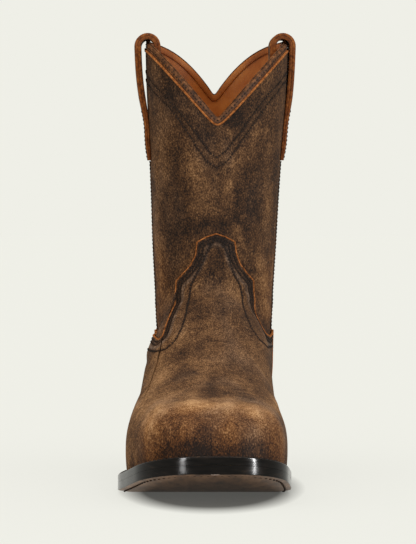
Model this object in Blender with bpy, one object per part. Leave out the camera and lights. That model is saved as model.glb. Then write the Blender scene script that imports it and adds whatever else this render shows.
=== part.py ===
"""A right-foot roper boot: leather upper with a vamp and a counter laid over it, on a welted leather sole.

Metres, +Z up, toe towards -Y, inner (medial) side towards +X. The origin is the middle of the heel, on the floor.
"""

import functools
import math

import bmesh
import bpy
import numpy as np

# Foot part of the upper, along the welt
FOOT_LENGTH = 0.2940
HEEL_BACK = 0.0350
BALL_WIDTH = 0.1000
INSTEP_HEIGHT = 0.1220
WIDEST_RISE = 0.0150
TOE_ROUND = 0.0310
TOE_FULLNESS = 2.4
HEEL_ROUND = 0.0850
INSTEP_BLEND = 0.45

# Shaft of the upper
SHAFT_HEIGHT = 0.2950
COLLAR_DEPTH = 0.1270
COLLAR_WIDTH = 0.0990
SHAFT_LEAN = 0.0017
SHAFT_TURN = 0.022
SHAFT_SQUARENESS = 2.2
FRONT_DIP = 0.0540
BACK_DIP = 0.0350
DIP_ROUND = 0.0030

# Leathers
UPPER_WALL = 0.0024
OVERLAY = 0.0014
GAP = 0.0003
FIT = 0.0007
PANEL_GAP = 0.0005
SEAT_GAP = 0.0005
SEAM_WIDTH = 0.0034
SEAM_THICKNESS = 0.0014
BINDING_RISE = 0.0036
BINDING_SETBACK = 0.0005
BINDING_THICKNESS = 0.0029

# Sole and heel
HEEL_HEIGHT = 0.0330
TOE_SPRING = 0.0195
SPRING_CURVE = 1.4
OUTSOLE = 0.0062
WELT = 0.0045
WELT_INSIDE = 0.0070
INSOLE_BOARD = 0.0030
HEEL_CAP = 0.0065
HEEL_LENGTH = 0.0720
HEEL_INSET = 0.0010
HEEL_TAPER = 0.0030
TREAD_FRONT = 0.1600
TREAD_BACK = 0.1200
EDGE_LIFT = 0.0012
EDGE_SLOPE = 0.0090

# Upper edges of the vamp and the counter
VAMP_PEAK = 0.1660
COUNTER_PEAK = 0.1300
OVERLAY_SIDE = 0.0985

# Pull straps
STRAP_WIDTH = 0.0260
STRAP_THICKNESS = 0.0042
STRAP_OUTER_END = 0.2170
STRAP_INNER_END = 0.2480
STRAP_LOOP = 0.0068
STRAP_CLEARANCE = 0.0015
STRAP_INSET = 0.0022

# Sections of the foot, heel to toe. station: share of FOOT_LENGTH. Widths at the widest height and at the
# welt: shares of BALL_WIDTH. ridge: share of INSTEP_HEIGHT. side, top: how square the section is.
FOOT_SECTIONS = {
    "station": (0.00, 0.25, 0.34, 0.42, 0.52, 0.63, 0.72, 0.82, 0.91, 1.00),
    "lateral": (0.34, 0.43, 0.460, 0.480, 0.516, 0.556, 0.552, 0.495, 0.425, 0.345),
    "medial": (0.33, 0.37, 0.380, 0.388, 0.410, 0.440, 0.452, 0.440, 0.408, 0.368),
    "lateral_welt": (0.31, 0.34, 0.37, 0.415, 0.485, 0.542, 0.542, 0.487, 0.418, 0.340),
    "medial_welt": (0.31, 0.29, 0.265, 0.270, 0.350, 0.425, 0.440, 0.430, 0.400, 0.363),
    "ridge": (0.70, 0.98, 1.05, 0.990, 0.800, 0.655, 0.580, 0.525, 0.488, 0.450),
    "side": (2.0, 2.0, 2.0, 2.0, 2.1, 2.2, 2.3, 2.5, 2.8, 3.0),
    "top": (2.0, 2.4, 2.7, 2.7, 2.5, 2.5, 2.6, 2.7, 2.8, 2.8),
}

# Sections of the shaft, floor to collar. height: share of SHAFT_HEIGHT. back, front: shares of COLLAR_DEPTH
# behind and ahead of the heel's middle. half: share of COLLAR_WIDTH.
SHAFT_SECTIONS = {
    "height": (0.14, 0.19, 0.24, 0.31, 0.38, 0.45, 0.54, 0.64, 0.71, 0.80, 0.90, 1.00),
    "back": (0.268, 0.315, 0.325, 0.305, 0.260, 0.232, 0.228, 0.245, 0.258, 0.275, 0.293, 0.300),
    "front": (0.52, 0.53, 0.54, 0.55, 0.57, 0.585, 0.600, 0.620, 0.637, 0.660, 0.685, 0.700),
    "half": (0.325, 0.365, 0.390, 0.398, 0.403, 0.413, 0.428, 0.441, 0.452, 0.470, 0.490, 0.500),
}

# Rings that the upper is laid out on, welt to collar. rise: share of SHAFT_HEIGHT climbed at the heel.
# follow: how far the ring keeps the sole's curve. tilt: climb towards the toe. collar: pull of the collar line.
# seam: share of the way round, front to back, at which the side seam crosses the ring.
RINGS = {
    "ring": (0.00, 0.10, 0.20, 0.30, 0.40, 0.50, 0.60, 0.70, 0.80, 0.90, 1.00),
    "rise": (0.000, 0.017, 0.037, 0.058, 0.082, 0.116, 0.176, 0.270, 0.390, 0.530, 0.700),
    "follow": (1.00, 0.97, 0.90, 0.75, 0.55, 0.30, 0.12, 0.03, 0.00, 0.00, 0.00),
    "tilt": (0.000, 0.012, 0.040, 0.075, 0.110, 0.140, 0.150, 0.120, 0.060, 0.020, 0.000),
    "collar": (0.00, 0.00, 0.00, 0.00, 0.00, 0.00, 0.00, 0.00, 0.10, 0.45, 1.00),
    "seam": (0.652, 0.642, 0.636, 0.616, 0.590, 0.560, 0.532, 0.497, 0.500, 0.500, 0.500),
}

# Upper edge of the vamp. across: share of the half width, as seen from the front. height: share of the way
# from OVERLAY_SIDE up to VAMP_PEAK.
VAMP_EDGE = {
    "across": (0.0, 0.18, 0.335, 0.355, 0.41, 0.50, 0.65, 0.67, 0.72, 0.79, 0.87, 0.94, 1.0),
    "height": (1.0, 0.97, 0.900, 0.780, 0.68, 0.60, 0.51, 0.28, 0.10, -0.03, -0.10, -0.06, 0.0),
}

# Upper edge of the counter. around: share of the way from the back to the side seam. height: share of the
# way from OVERLAY_SIDE up to COUNTER_PEAK.
COUNTER_EDGE = {
    "around": (0.00, 0.15, 0.35, 0.60, 0.80, 1.00),
    "height": (1.00, 0.92, 0.60, 0.16, -0.03, 0.00),
}

# Edge of the sole. around: share of the way from toe to heel. lateral, medial: ledge beyond the vamp and
# the counter. lift: how far the underside's rim is lifted, as a share of EDGE_LIFT.
LEDGE = {
    "around": (0.00, 0.15, 0.30, 0.42, 0.55, 0.70, 1.00),
    "lateral": (0.0045, 0.0050, 0.0060, 0.0058, 0.0035, 0.0020, 0.0020),
    "medial": (0.0045, 0.0044, 0.0036, 0.0028, 0.0018, 0.0018, 0.0020),
    "lift": (0.0, 0.6, 1.0, 1.0, 0.6, 0.0, 0.0),
}

# Leg of a pull strap. climb: share of the way from its stitched end to the loop. away: how far it has left
# the wall for the loop.
STRAP_LEG = {
    "climb": (0.0, 0.16, 0.33, 0.45, 0.58, 0.72, 0.86, 1.0),
    "away": (0.0, 0.00, 0.02, 0.18, 0.50, 0.80, 0.96, 1.0),
}

# How the meshes are divided
FRONT_COLUMNS = (
    0.000, 0.057, 0.115, 0.217, 0.231, 0.269, 0.333, 0.390, 0.450,
    0.467, 0.512, 0.580, 0.640, 0.700, 0.760, 0.820, 0.880, 0.940,
)
BACK_COLUMNS = (0.000, 0.140, 0.280, 0.400, 0.500, 0.590, 0.670, 0.750, 0.830, 0.915)
RINGS_AT = (
    0.00, 0.05, 0.10, 0.15, 0.20, 0.25, 0.30, 0.35, 0.40, 0.45,
    0.50, 0.53, 0.56, 0.59, 0.62, 0.65, 0.68, 0.72, 0.78, 0.85, 0.92, 1.00,
)
SOLE_AROUND = np.interp(np.arange(40), (0, 11, 31, 39), (0.0, 0.42, 0.78, 1.0))
HALVINGS = 24
SHARP = math.radians(35)

ROUGHOUT = (0.107, 0.052, 0.028)
SMOOTH_LEATHER = (0.320, 0.130, 0.045)
BLACK_EDGE = (0.022, 0.020, 0.020)
SOLE_LEATHER = (0.230, 0.130, 0.070)
RUBBER = (0.030, 0.028, 0.027)


@functools.lru_cache(maxsize=None)
def table_of(knots, *rows):
    """A table's knots and rows as arrays, with the slope of every row at every knot."""
    knots, rows = np.array(knots), np.array(rows)
    return knots, rows, np.gradient(rows, knots, axis=1)


def curves(x, knots, *rows):
    """Smooth lines through the rows of a table: one cubic in each gap, its end slopes from the neighbours."""
    knots, rows, slopes = table_of(knots, *rows)
    x = np.clip(x, knots[0], knots[-1])
    i = np.clip(np.searchsorted(knots, x) - 1, 0, len(knots) - 2)
    step = knots[i + 1] - knots[i]
    t = (x - knots[i]) / step
    s = 1 - t
    start = rows[:, i] * (1 + 2 * t) * s * s + slopes[:, i] * step * t * s * s
    end = rows[:, i + 1] * t * t * (3 - 2 * t) - slopes[:, i + 1] * step * t * t * s
    return start + end


def curve(x, knots, row):
    """One smooth line."""
    return curves(x, knots, row)[0]


def ease(t):
    """0 to 1 with level ends."""
    t = np.clip(t, 0, 1)
    return t * t * (3 - 2 * t)


def swell(t):
    """0 to 1 as half a cosine wave."""
    return 0.5 - 0.5 * np.cos(math.pi * np.clip(t, 0, 1))


def tread_height(y):
    """Underside of the outsole: level over the heel, down the shank, level at the tread, and up at the toe."""
    breast = HEEL_LENGTH - HEEL_BACK
    toe = FOOT_LENGTH - HEEL_BACK
    shank = HEEL_HEIGHT * swell((y + TREAD_BACK) / (TREAD_BACK - breast))
    return shank + TOE_SPRING * np.clip((-y - TREAD_FRONT) / (toe - TREAD_FRONT), 0, None) ** SPRING_CURVE


def welt_height(y):
    """Top of the welt, on which the upper stands."""
    return tread_height(y) + OUTSOLE + SEAT_GAP + WELT


def foot_form(x, y, z):
    """Above zero inside the foot: one, less its squared-off width and height and its rounded ends."""
    station = np.clip((HEEL_BACK - y) / FOOT_LENGTH, 0, 1.2)
    rows = curves(station, *FOOT_SECTIONS.values())
    section = dict(zip(list(FOOT_SECTIONS)[1:], rows))
    outer = x < 0
    wide = BALL_WIDTH * np.where(outer, section["lateral"], section["medial"])
    low = BALL_WIDTH * np.where(outer, section["lateral_welt"], section["medial_welt"])
    up = z - welt_height(y)
    width = wide - (wide - low) * np.clip(1 - up / WIDEST_RISE, 0, 1) ** 2
    crown = np.maximum(INSTEP_HEIGHT * section["ridge"] - welt_height(y) - WIDEST_RISE, GAP)
    top = (np.clip(up - WIDEST_RISE, 0, None) / crown) ** section["top"]
    toe_start = 1 - TOE_ROUND / FOOT_LENGTH
    toe = (np.clip(station - toe_start, 0, None) / (1 - toe_start)) ** TOE_FULLNESS
    heel = np.clip(1 - (HEEL_BACK - y) / HEEL_ROUND, 0, None) ** 2
    return 1 - np.abs(x / width) ** section["side"] - top - toe - heel


def shaft_span(z):
    """Back, front and half width of the shaft at this height."""
    back, front, half = curves(np.asarray(z) / SHAFT_HEIGHT, *SHAFT_SECTIONS.values())
    return COLLAR_DEPTH * back, -COLLAR_DEPTH * front, COLLAR_WIDTH * half


def shaft_middle():
    """Middle of the collar, along the boot."""
    back, front, _ = shaft_span(SHAFT_HEIGHT)
    return (back + front) / 2


def lean(y, z):
    """Sideways shift of the shaft: it leans inwards as it rises, and is turned a little on the foot."""
    risen = ease((z - INSTEP_HEIGHT) / (SHAFT_HEIGHT - INSTEP_HEIGHT))
    return risen * (SHAFT_LEAN + SHAFT_TURN * (shaft_middle() - y))


def shaft_form(x, y, z):
    """Above zero inside the shaft and the heel: one, less a squared-off oval."""
    back, front, half = shaft_span(z)
    middle, reach = (back + front) / 2, (back - front) / 2
    across, along = np.abs(x / half), np.abs((y - middle) / reach)
    return 1 - across**SHAFT_SQUARENESS - along**SHAFT_SQUARENESS


def upright_form(x, y, z):
    """Foot and shaft as one, with a soft hollow at the instep, before the shaft's lean."""
    foot, shaft = foot_form(x, y, z), shaft_form(x, y, z)
    near = np.clip(1 - np.abs(foot - shaft) / INSTEP_BLEND, 0, None)
    return np.maximum(foot, shaft) + near * near * INSTEP_BLEND / 4


def form(x, y, z):
    """Above zero inside the boot."""
    return upright_form(x - lean(y, z), y, z)


def rim_height(x, y):
    """Collar line: a straight-sided dip in front, a rounder one behind, and a peak over each side seam."""
    half = shaft_span(SHAFT_HEIGHT)[2]
    away = np.clip((np.hypot(x, DIP_ROUND) - DIP_ROUND) / (half - DIP_ROUND / 2), 0, 1)
    dip = np.where(y < shaft_middle(), FRONT_DIP * (1 - away), BACK_DIP * (1 - away) ** 2)
    return SHAFT_HEIGHT - dip


def ring_height(x, y, v):
    """Height of ring v at a place along the boot."""
    rise, follow, tilt, pull, _ = curves(v, *RINGS.values())
    heel = welt_height(0.0)
    plain = heel + FIT + SHAFT_HEIGHT * rise + follow * (welt_height(y) - heel) - tilt * y
    return plain * (1 - pull) + rim_height(x, y) * pull


def reach_from(x, y, along_x, along_y, height):
    """Distance from a line inside the boot to its outer face, by halving the span between in and out."""
    near, far = np.zeros_like(x), np.full_like(x, FOOT_LENGTH)
    for _ in range(HALVINGS):
        middle = (near + far) / 2
        px, py = x + middle * along_x, y + middle * along_y
        inside = upright_form(px, py, height(px, py)) > 0
        near, far = np.where(inside, middle, near), np.where(inside, far, middle)
    return near


def surface(u, v, side):
    """Point of the upper's outer face. u: 0 at the front to 1 at the back. v: 0 at the welt to 1 at the collar.

    side is -1 on the outer side and +1 on the inner. Rays fan out from a line along the middle of the boot.
    """
    u, v, side = (np.array(a, float) for a in np.broadcast_arrays(u, v, side))
    none, one = np.zeros_like(u), np.ones_like(u)

    def height(x, y):
        return ring_height(x, y, v)

    start = shaft_middle() * one
    tip = start - reach_from(none, start, none, -one, height)
    tail = start + reach_from(none, start, none, one, height)
    end_round = np.minimum(0.46 * BALL_WIDTH, 0.38 * (tail - tip))
    angle = math.pi * u
    y = (tip + tail) / 2 - ((tail - tip) / 2 - end_round) * np.cos(angle)
    along_x, along_y = side * np.sin(angle), -np.cos(angle)
    reach = reach_from(none, y, along_x, along_y, height)
    px, py = reach * along_x, y + reach * along_y
    z = height(px, py)
    return np.stack([px + lean(py, z), py, z], -1)


def normals(points):
    """Unit normals of the outer face."""
    step = 0.0002
    x, y, z = points[..., 0], points[..., 1], points[..., 2]
    slope_x = form(x - step, y, z) - form(x + step, y, z)
    slope_y = form(x, y - step, z) - form(x, y + step, z)
    slope_z = form(x, y, z - step) - form(x, y, z + step)
    normal = np.stack([slope_x, slope_y, slope_z], -1)
    return normal / np.linalg.norm(normal, axis=-1, keepdims=True)


def level_normals(points):
    """Unit normals with no climb."""
    normal = normals(points)
    normal[..., 2] = 0
    return normal / np.linalg.norm(normal, axis=-1, keepdims=True)


def at_height(points, height):
    """The same places at another height, which may be a value or follow from the points."""
    moved = points.copy()
    moved[..., 2] = height
    return moved


def skin(points, distance):
    """Rows of the outer face carried out along their normals; the lowest row stays just clear of the welt."""
    moved = points + distance * normals(points)
    foot = points[0] + distance * level_normals(points[0])
    moved[0] = at_height(foot, welt_height(foot[:, 1]) + FIT)
    return moved


def seam_at(v):
    """u of the side seam: the middle of the shaft, and further back down at the welt."""
    return curve(v, RINGS["ring"], RINGS["seam"])


def between_seams(around, v, from_back):
    """u at a share of the way from the front, or from the back, to the side seam."""
    seam = seam_at(v)
    return 1 - around * (1 - seam) if from_back else around * seam


def climb_to(around, height, side, from_back):
    """Ring value at which the line at each share of the way to the side seam reaches its height."""
    v = np.linspace(0, 1, 101)
    line = surface(between_seams(around, v[:, None], from_back), v[:, None], side)[..., 2]
    return np.array([np.interp(goal, column, v) for goal, column in zip(height, line.T)])


def shaft_side(y, z, side):
    """Points of the outer face straight out to one side."""
    y, z = np.broadcast_arrays(y, z)
    none = np.zeros_like(y)
    reach = reach_from(none, y, side + none, none, lambda px, py: z)
    return np.stack([side * reach + lean(y, z), y, z], -1)


def add_mesh(name, points, faces, colour, roughness):
    """One closed object, smooth but for its sharp edges, with its own material."""
    mesh = bpy.data.meshes.new(name)
    mesh.from_pydata([tuple(p) for p in points], [], faces)
    work = bmesh.new()
    work.from_mesh(mesh)
    bmesh.ops.remove_doubles(work, verts=work.verts, dist=1e-6)
    bmesh.ops.triangulate(work, faces=work.faces, quad_method="FIXED")
    bmesh.ops.recalc_face_normals(work, faces=work.faces)
    work.to_mesh(mesh)
    work.free()
    mesh.shade_smooth()
    mesh.set_sharp_from_angle(angle=SHARP)
    material = bpy.data.materials.new(name)
    material.use_nodes = True
    shader = material.node_tree.nodes["Principled BSDF"]
    shader.inputs["Base Color"].default_value = (*colour, 1)
    shader.inputs["Roughness"].default_value = roughness
    shader.inputs["Metallic"].default_value = 0
    mesh.materials.append(material)
    bpy.context.scene.collection.objects.link(bpy.data.objects.new(name, mesh))


def tube(name, rings, colour, roughness):
    """Rings of points joined in turn, and back to the first."""
    count, size = rings.shape[:2]
    faces = []
    for r in range(count):
        for c in range(size):
            a, b = r * size + c, r * size + (c + 1) % size
            n = (r + 1) % count * size - r * size
            faces.append((a, b, b + n, a + n))
    add_mesh(name, rings.reshape(-1, 3), faces, colour, roughness)


def slab(name, outer, inner, colour, roughness):
    """A wall between two sheets of points with the same rows and columns, split by the same diagonals."""
    rings = np.concatenate([outer, inner[::-1]])
    rows, columns = outer.shape[:2]
    total = 2 * rows
    faces = []
    for r in range(total):
        for c in range(columns - 1):
            a, b = r * columns + c, (r + 1) % total * columns + c
            faces.append((a, a + 1, b + 1, b) if r < rows else (a + 1, b + 1, b, a))
    for r in range(rows - 1):
        for c in (0, columns - 1):
            a, b = r * columns + c, (r + 1) * columns + c
            d, e = (total - 2 - r) * columns + c, (total - 1 - r) * columns + c
            faces.append((a, b, d, e))
    add_mesh(name, rings.reshape(-1, 3), faces, colour, roughness)


def plate(name, levels, colour, roughness):
    """A solid between outlines. Each level holds an outer-side and an inner-side row, toe to heel."""
    rings = np.array([np.concatenate([lateral, medial[::-1]]) for lateral, medial in levels])
    count, size = rings.shape[:2]
    faces = []
    for r in range(count - 1):
        for c in range(size):
            a, b = r * size + c, r * size + (c + 1) % size
            faces.append((a, b, b + size, a + size))
    for first in (0, (count - 1) * size):
        for c in range(size // 2 - 1):
            faces.append((first + c, first + c + 1, first + size - 2 - c, first + size - 1 - c))
    add_mesh(name, rings.reshape(-1, 3), faces, colour, roughness)


def foot_line(u, side, out):
    """The upper's line on the welt, carried out or in along the level."""
    points = surface(u, 0.0, side)
    return points + np.reshape(out, (-1, 1)) * level_normals(points)


def sole_edge(u, side, inset=0.0):
    """Edge of the sole: the ledge beyond the vamp and the counter."""
    ledge = curve(u, LEDGE["around"], LEDGE["lateral" if side < 0 else "medial"])
    return foot_line(u, side, PANEL_GAP + OVERLAY + ledge - inset)


def both_sides(row):
    """The outer-side and inner-side rows of an outline."""
    return row(-1.0), row(1.0)


def full_round(v):
    """u and side of the columns at ring v, toe to heel on the outer side and back on the inner."""
    v = np.reshape(v, (-1, 1))
    front = between_seams(np.array(FRONT_COLUMNS), v, False)
    back = between_seams(np.array(BACK_COLUMNS[::-1]), v, True)
    u = np.concatenate([front, seam_at(v), back], axis=1)
    side = np.repeat([-1.0, 1.0], u.shape[1] - 1)
    return np.concatenate([u, u[:, -2:0:-1]], axis=1), side


def make_upper():
    """Foot and shaft as one open wall: leather, rough side out."""
    u, side = full_round(RINGS_AT)
    face = surface(u, np.reshape(RINGS_AT, (-1, 1)), side)
    columns = np.concatenate([face, skin(face, -UPPER_WALL)[::-1]]).transpose(1, 0, 2)
    tube("upper", columns, ROUGHOUT, 0.9)


def panel(name, around, height, from_back):
    """A panel over the upper, from the welt to its cut edge: the upper's own columns and rings, cut off there."""
    quarter = math.pi / 4 * (COLLAR_DEPTH + COLLAR_WIDTH) / 2
    around = np.append(around, 1 - GAP / quarter)
    height = np.append(height, OVERLAY_SIDE)
    tops = [climb_to(around, height, side, from_back) for side in (-1.0, 1.0)]
    rings = [v for v in RINGS_AT if v < np.max(tops)]
    sides = []
    for side, top in zip((-1.0, 1.0), tops):
        v = np.minimum(np.array([*rings, 1.0])[:, None], top)
        sides.append(surface(between_seams(around, v, from_back), v, side))
    first, second = sides if from_back else sides[::-1]
    face = np.concatenate([first[:, ::-1], second[:, 1:]], axis=1)
    slab(name, skin(face, PANEL_GAP + OVERLAY), skin(face, PANEL_GAP), ROUGHOUT, 0.9)


def make_vamp():
    """Front panel with a stepped tongue."""
    corners = np.arcsin(VAMP_EDGE["across"]) * 2 / math.pi
    around = np.array(FRONT_COLUMNS)
    rise = (VAMP_PEAK - OVERLAY_SIDE) * np.interp(around, corners, VAMP_EDGE["height"])
    panel("vamp", around, OVERLAY_SIDE + rise, False)


def make_counter():
    """Heel panel, highest over the back."""
    around = np.array(BACK_COLUMNS)
    rise = (COUNTER_PEAK - OVERLAY_SIDE) * curve(around, *COUNTER_EDGE.values())
    panel("counter", around, OVERLAY_SIDE + rise, True)


def make_side_seam(name, side):
    """Raised strip down the side of the shaft, from the pull strap to the vamp and the counter."""
    middle = np.array([1.0])
    low = climb_to(middle, [OVERLAY_SIDE + 3 * GAP], side, False)
    high = climb_to(middle, [STRAP_OUTER_END - 2 * GAP], side, False)
    v = np.linspace(low, high, 10)
    line = surface(seam_at(v), v, side)
    y = line[..., 1] + np.array([-0.5, 0.5]) * SEAM_WIDTH
    face = shaft_side(y, line[..., 2], side)
    out = normals(face)
    slab(name, face + (FIT + SEAM_THICKNESS) * out, face + FIT * out, ROUGHOUT, 0.9)


def make_binding():
    """Rolled bead that stands on the collar's edge."""
    u, side = full_round(1.0)
    edge = surface(u[0], 1.0, side)
    ahead = np.roll(edge, -1, axis=0) - np.roll(edge, 1, axis=0)
    steep = np.linalg.norm(ahead, axis=1) / np.linalg.norm(ahead[:, :2], axis=1)
    back, front = BINDING_SETBACK, BINDING_SETBACK + BINDING_THICKNESS
    profile_in = np.array([back, back, back + 0.6e-3, front - 0.6e-3, front, front])
    profile_up = np.array([0.0, 0.65, 1.0, 1.0, 0.65, 0.0]) * BINDING_RISE
    out = level_normals(edge)
    rings = edge[:, None] - profile_in[None, :, None] * out[:, None]
    rings[..., 2] += FIT + profile_up[None] * steep[:, None]
    tube("collar_binding", rings, SMOOTH_LEATHER, 0.5)


def strap_path(inset):
    """Middle line of a pull strap: how far out from the shaft's face, and how high."""
    crown = -UPPER_WALL / 2 - inset
    spring = SHAFT_HEIGHT + FIT + BINDING_RISE + STRAP_CLEARANCE + STRAP_THICKNESS / 2 - STRAP_LOOP
    lying_out = FIT + GAP + STRAP_THICKNESS / 2
    lying_in = -UPPER_WALL - lying_out
    climb, away = np.array(STRAP_LEG["climb"]), np.array(STRAP_LEG["away"])
    turn = np.radians(np.arange(22.5, 179, 22.5))
    outer_leg = lying_out + (crown + STRAP_LOOP - lying_out) * away
    inner_leg = lying_in + (crown - STRAP_LOOP - lying_in) * away
    outer_climb = STRAP_OUTER_END + (spring - STRAP_OUTER_END) * climb
    inner_climb = STRAP_INNER_END + (spring - STRAP_INNER_END) * climb
    out = np.concatenate([outer_leg, crown + STRAP_LOOP * np.cos(turn), inner_leg[::-1]])
    high = np.concatenate([outer_climb, spring + STRAP_LOOP * np.sin(turn), inner_climb[::-1]])
    return out, high


def make_pull_strap(name, side, inset):
    """Loop of leather over the collar's peak, one end outside the shaft and the other inside."""
    out, high = strap_path(inset)
    along = np.stack([np.gradient(out), np.gradient(high)], -1)
    along /= np.linalg.norm(along, axis=1, keepdims=True)
    middle = surface(0.5, 1.0, side)[1]
    y = middle + np.linspace(-0.5, 0.5, 3)[None] * STRAP_WIDTH
    faces = []
    for half in (0.5, -0.5):
        far = out + half * STRAP_THICKNESS * along[:, 1]
        up = high - half * STRAP_THICKNESS * along[:, 0]
        face = shaft_side(y, up[:, None], side)
        faces.append(face + far[:, None, None] * level_normals(face))
    slab(name, faces[0], faces[1], SMOOTH_LEATHER, 0.6)


def make_welt():
    """Flat strip round the boot, under the upper's edge and out to the sole's edge."""
    lateral, medial = both_sides(lambda side: sole_edge(SOLE_AROUND, side))
    outer = np.concatenate([lateral, medial[-2:0:-1]])
    lateral, medial = both_sides(lambda side: foot_line(SOLE_AROUND, side, -WELT_INSIDE))
    inner = np.concatenate([lateral, medial[-2:0:-1]])
    rings = []
    for line, base in ((outer, 0), (outer, WELT), (inner, WELT), (inner, 0)):
        rings.append(at_height(line, tread_height(line[:, 1]) + OUTSOLE + SEAT_GAP + base))
    tube("welt", np.array(rings).transpose(1, 0, 2), BLACK_EDGE, 0.3)


def make_insole():
    """Board that fills the welt's opening and spreads over it to the upper's inner face."""
    narrow = both_sides(lambda side: foot_line(SOLE_AROUND, side, -WELT_INSIDE - GAP))
    broad = both_sides(lambda side: foot_line(SOLE_AROUND, side, -UPPER_WALL - FIT - GAP))
    over = OUTSOLE + SEAT_GAP + WELT + GAP
    steps = ((narrow, OUTSOLE + SEAT_GAP), (narrow, over), (broad, over), (broad, over + INSOLE_BOARD))
    levels = []
    for pair, rise in steps:
        levels.append([at_height(line, tread_height(line[:, 1]) + rise) for line in pair])
    plate("insole", levels, SMOOTH_LEATHER, 0.7)


def make_outsole():
    """Leather sole from toe to heel, with its waist, toe spring and level tread, and a lifted rim below."""
    lift = EDGE_LIFT * curve(SOLE_AROUND, LEDGE["around"], LEDGE["lift"])
    levels = []
    for inset, rise in ((EDGE_SLOPE, 0), (0, lift), (0, OUTSOLE)):
        edge = both_sides(lambda side: sole_edge(SOLE_AROUND, side, inset))
        levels.append([at_height(line, tread_height(line[:, 1]) + rise) for line in edge])
    plate("outsole", levels, SOLE_LEATHER, 0.6)


def heel_outline(inset):
    """The sole's edge behind the heel's straight front."""
    breast = HEEL_BACK - HEEL_LENGTH
    rows = []
    for side in (-1.0, 1.0):
        u = np.linspace(0.5, 1, 60)
        start = np.interp(breast, sole_edge(u, side, inset)[:, 1], u)
        rows.append(sole_edge(np.linspace(start, 1, 13), side, inset))
        rows[-1][0, 1] = breast
    return rows


def make_heel():
    """Stack of leather lifts, drawn in downwards, and the rubber cap that stands on the floor."""
    def taper(z):
        return HEEL_INSET + HEEL_TAPER * (1 - z / HEEL_HEIGHT)

    layers = (
        ("heel_stack", HEEL_CAP + GAP, HEEL_HEIGHT - GAP, SOLE_LEATHER, 0.5),
        ("heel_cap", 0.0, HEEL_CAP, RUBBER, 0.8),
    )
    for name, low, high, colour, roughness in layers:
        levels = [[at_height(line, z) for line in heel_outline(taper(z))] for z in (low, high)]
        plate(name, levels, colour, roughness)


for old in list(bpy.data.objects):
    bpy.data.objects.remove(old)

make_upper()
make_vamp()
make_counter()
make_side_seam("side_seam_lateral", -1.0)
make_side_seam("side_seam_medial", 1.0)
make_binding()
make_pull_strap("pull_strap_lateral", -1.0, 0.0)
make_pull_strap("pull_strap_medial", 1.0, STRAP_INSET)
make_welt()
make_insole()
make_outsole()
make_heel()
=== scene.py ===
"""Roper boot for the right foot: its finished surfaces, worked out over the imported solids.

Metres, +Z up, toe towards -Y, inner side of the foot towards +X, origin under the heel, on the floor.
"""

import functools
import math

import bmesh
import bpy
import numpy as np
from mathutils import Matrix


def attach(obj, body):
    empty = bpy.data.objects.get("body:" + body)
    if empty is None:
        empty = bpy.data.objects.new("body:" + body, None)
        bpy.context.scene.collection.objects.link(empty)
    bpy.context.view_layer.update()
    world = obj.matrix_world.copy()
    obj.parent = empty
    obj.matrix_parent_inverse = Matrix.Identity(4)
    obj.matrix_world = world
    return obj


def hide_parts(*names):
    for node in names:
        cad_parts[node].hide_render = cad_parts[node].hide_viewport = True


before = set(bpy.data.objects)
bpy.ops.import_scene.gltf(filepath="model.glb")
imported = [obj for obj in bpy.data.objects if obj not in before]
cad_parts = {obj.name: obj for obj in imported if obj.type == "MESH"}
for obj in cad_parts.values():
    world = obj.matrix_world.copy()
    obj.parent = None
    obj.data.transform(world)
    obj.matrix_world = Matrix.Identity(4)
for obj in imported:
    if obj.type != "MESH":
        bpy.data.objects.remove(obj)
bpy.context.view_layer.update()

# UPPER
# Foot and shaft of the boot in one wall: cowhide with its flesh side out, brushed to a rough nap and waxed
# dark, glued to a smooth lining and pulled over the last. Everything else is laid on this surface.

# Foot part, along the welt
FOOT_LENGTH = 0.2940
HEEL_BACK = 0.0350
BALL_WIDTH = 0.1000
INSTEP_HEIGHT = 0.1220
WIDEST_RISE = 0.0150
TOE_ROUND = 0.0310
TOE_FULLNESS = 2.4
HEEL_ROUND = 0.0850
INSTEP_BLEND = 0.45

# Shaft
SHAFT_HEIGHT = 0.2950
COLLAR_DEPTH = 0.1270
COLLAR_WIDTH = 0.0990
SHAFT_LEAN = 0.0017
SHAFT_TURN = 0.022
SHAFT_SQUARENESS = 2.2
FRONT_DIP = 0.0540
BACK_DIP = 0.0350
DIP_ROUND = 0.0030

# Wall, and the clearances between pieces
UPPER_WALL = 0.0024
GAP = 0.0003
FIT = 0.0007
SEAT_GAP = 0.0005

# Sole and heel, as far as they carry the upper
HEEL_HEIGHT = 0.0330
TOE_SPRING = 0.0195
SPRING_CURVE = 1.4
OUTSOLE = 0.0062
WELT = 0.0045
HEEL_LENGTH = 0.0720
TREAD_FRONT = 0.1600
TREAD_BACK = 0.1200

# Sections of the foot, heel to toe. station: share of FOOT_LENGTH. Widths at the widest height and at the
# welt: shares of BALL_WIDTH. ridge: share of INSTEP_HEIGHT. side, top: how square the section is.
FOOT_SECTIONS = {
    "station": (0.00, 0.25, 0.34, 0.42, 0.52, 0.63, 0.72, 0.82, 0.91, 1.00),
    "lateral": (0.34, 0.43, 0.460, 0.480, 0.516, 0.556, 0.552, 0.495, 0.425, 0.345),
    "medial": (0.33, 0.37, 0.380, 0.388, 0.410, 0.440, 0.452, 0.440, 0.408, 0.368),
    "lateral_welt": (0.31, 0.34, 0.37, 0.415, 0.485, 0.542, 0.542, 0.487, 0.418, 0.340),
    "medial_welt": (0.31, 0.29, 0.265, 0.270, 0.350, 0.425, 0.440, 0.430, 0.400, 0.363),
    "ridge": (0.70, 0.98, 1.05, 0.990, 0.800, 0.655, 0.580, 0.525, 0.488, 0.450),
    "side": (2.0, 2.0, 2.0, 2.0, 2.1, 2.2, 2.3, 2.5, 2.8, 3.0),
    "top": (2.0, 2.4, 2.7, 2.7, 2.5, 2.5, 2.6, 2.7, 2.8, 2.8),
}

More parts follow.
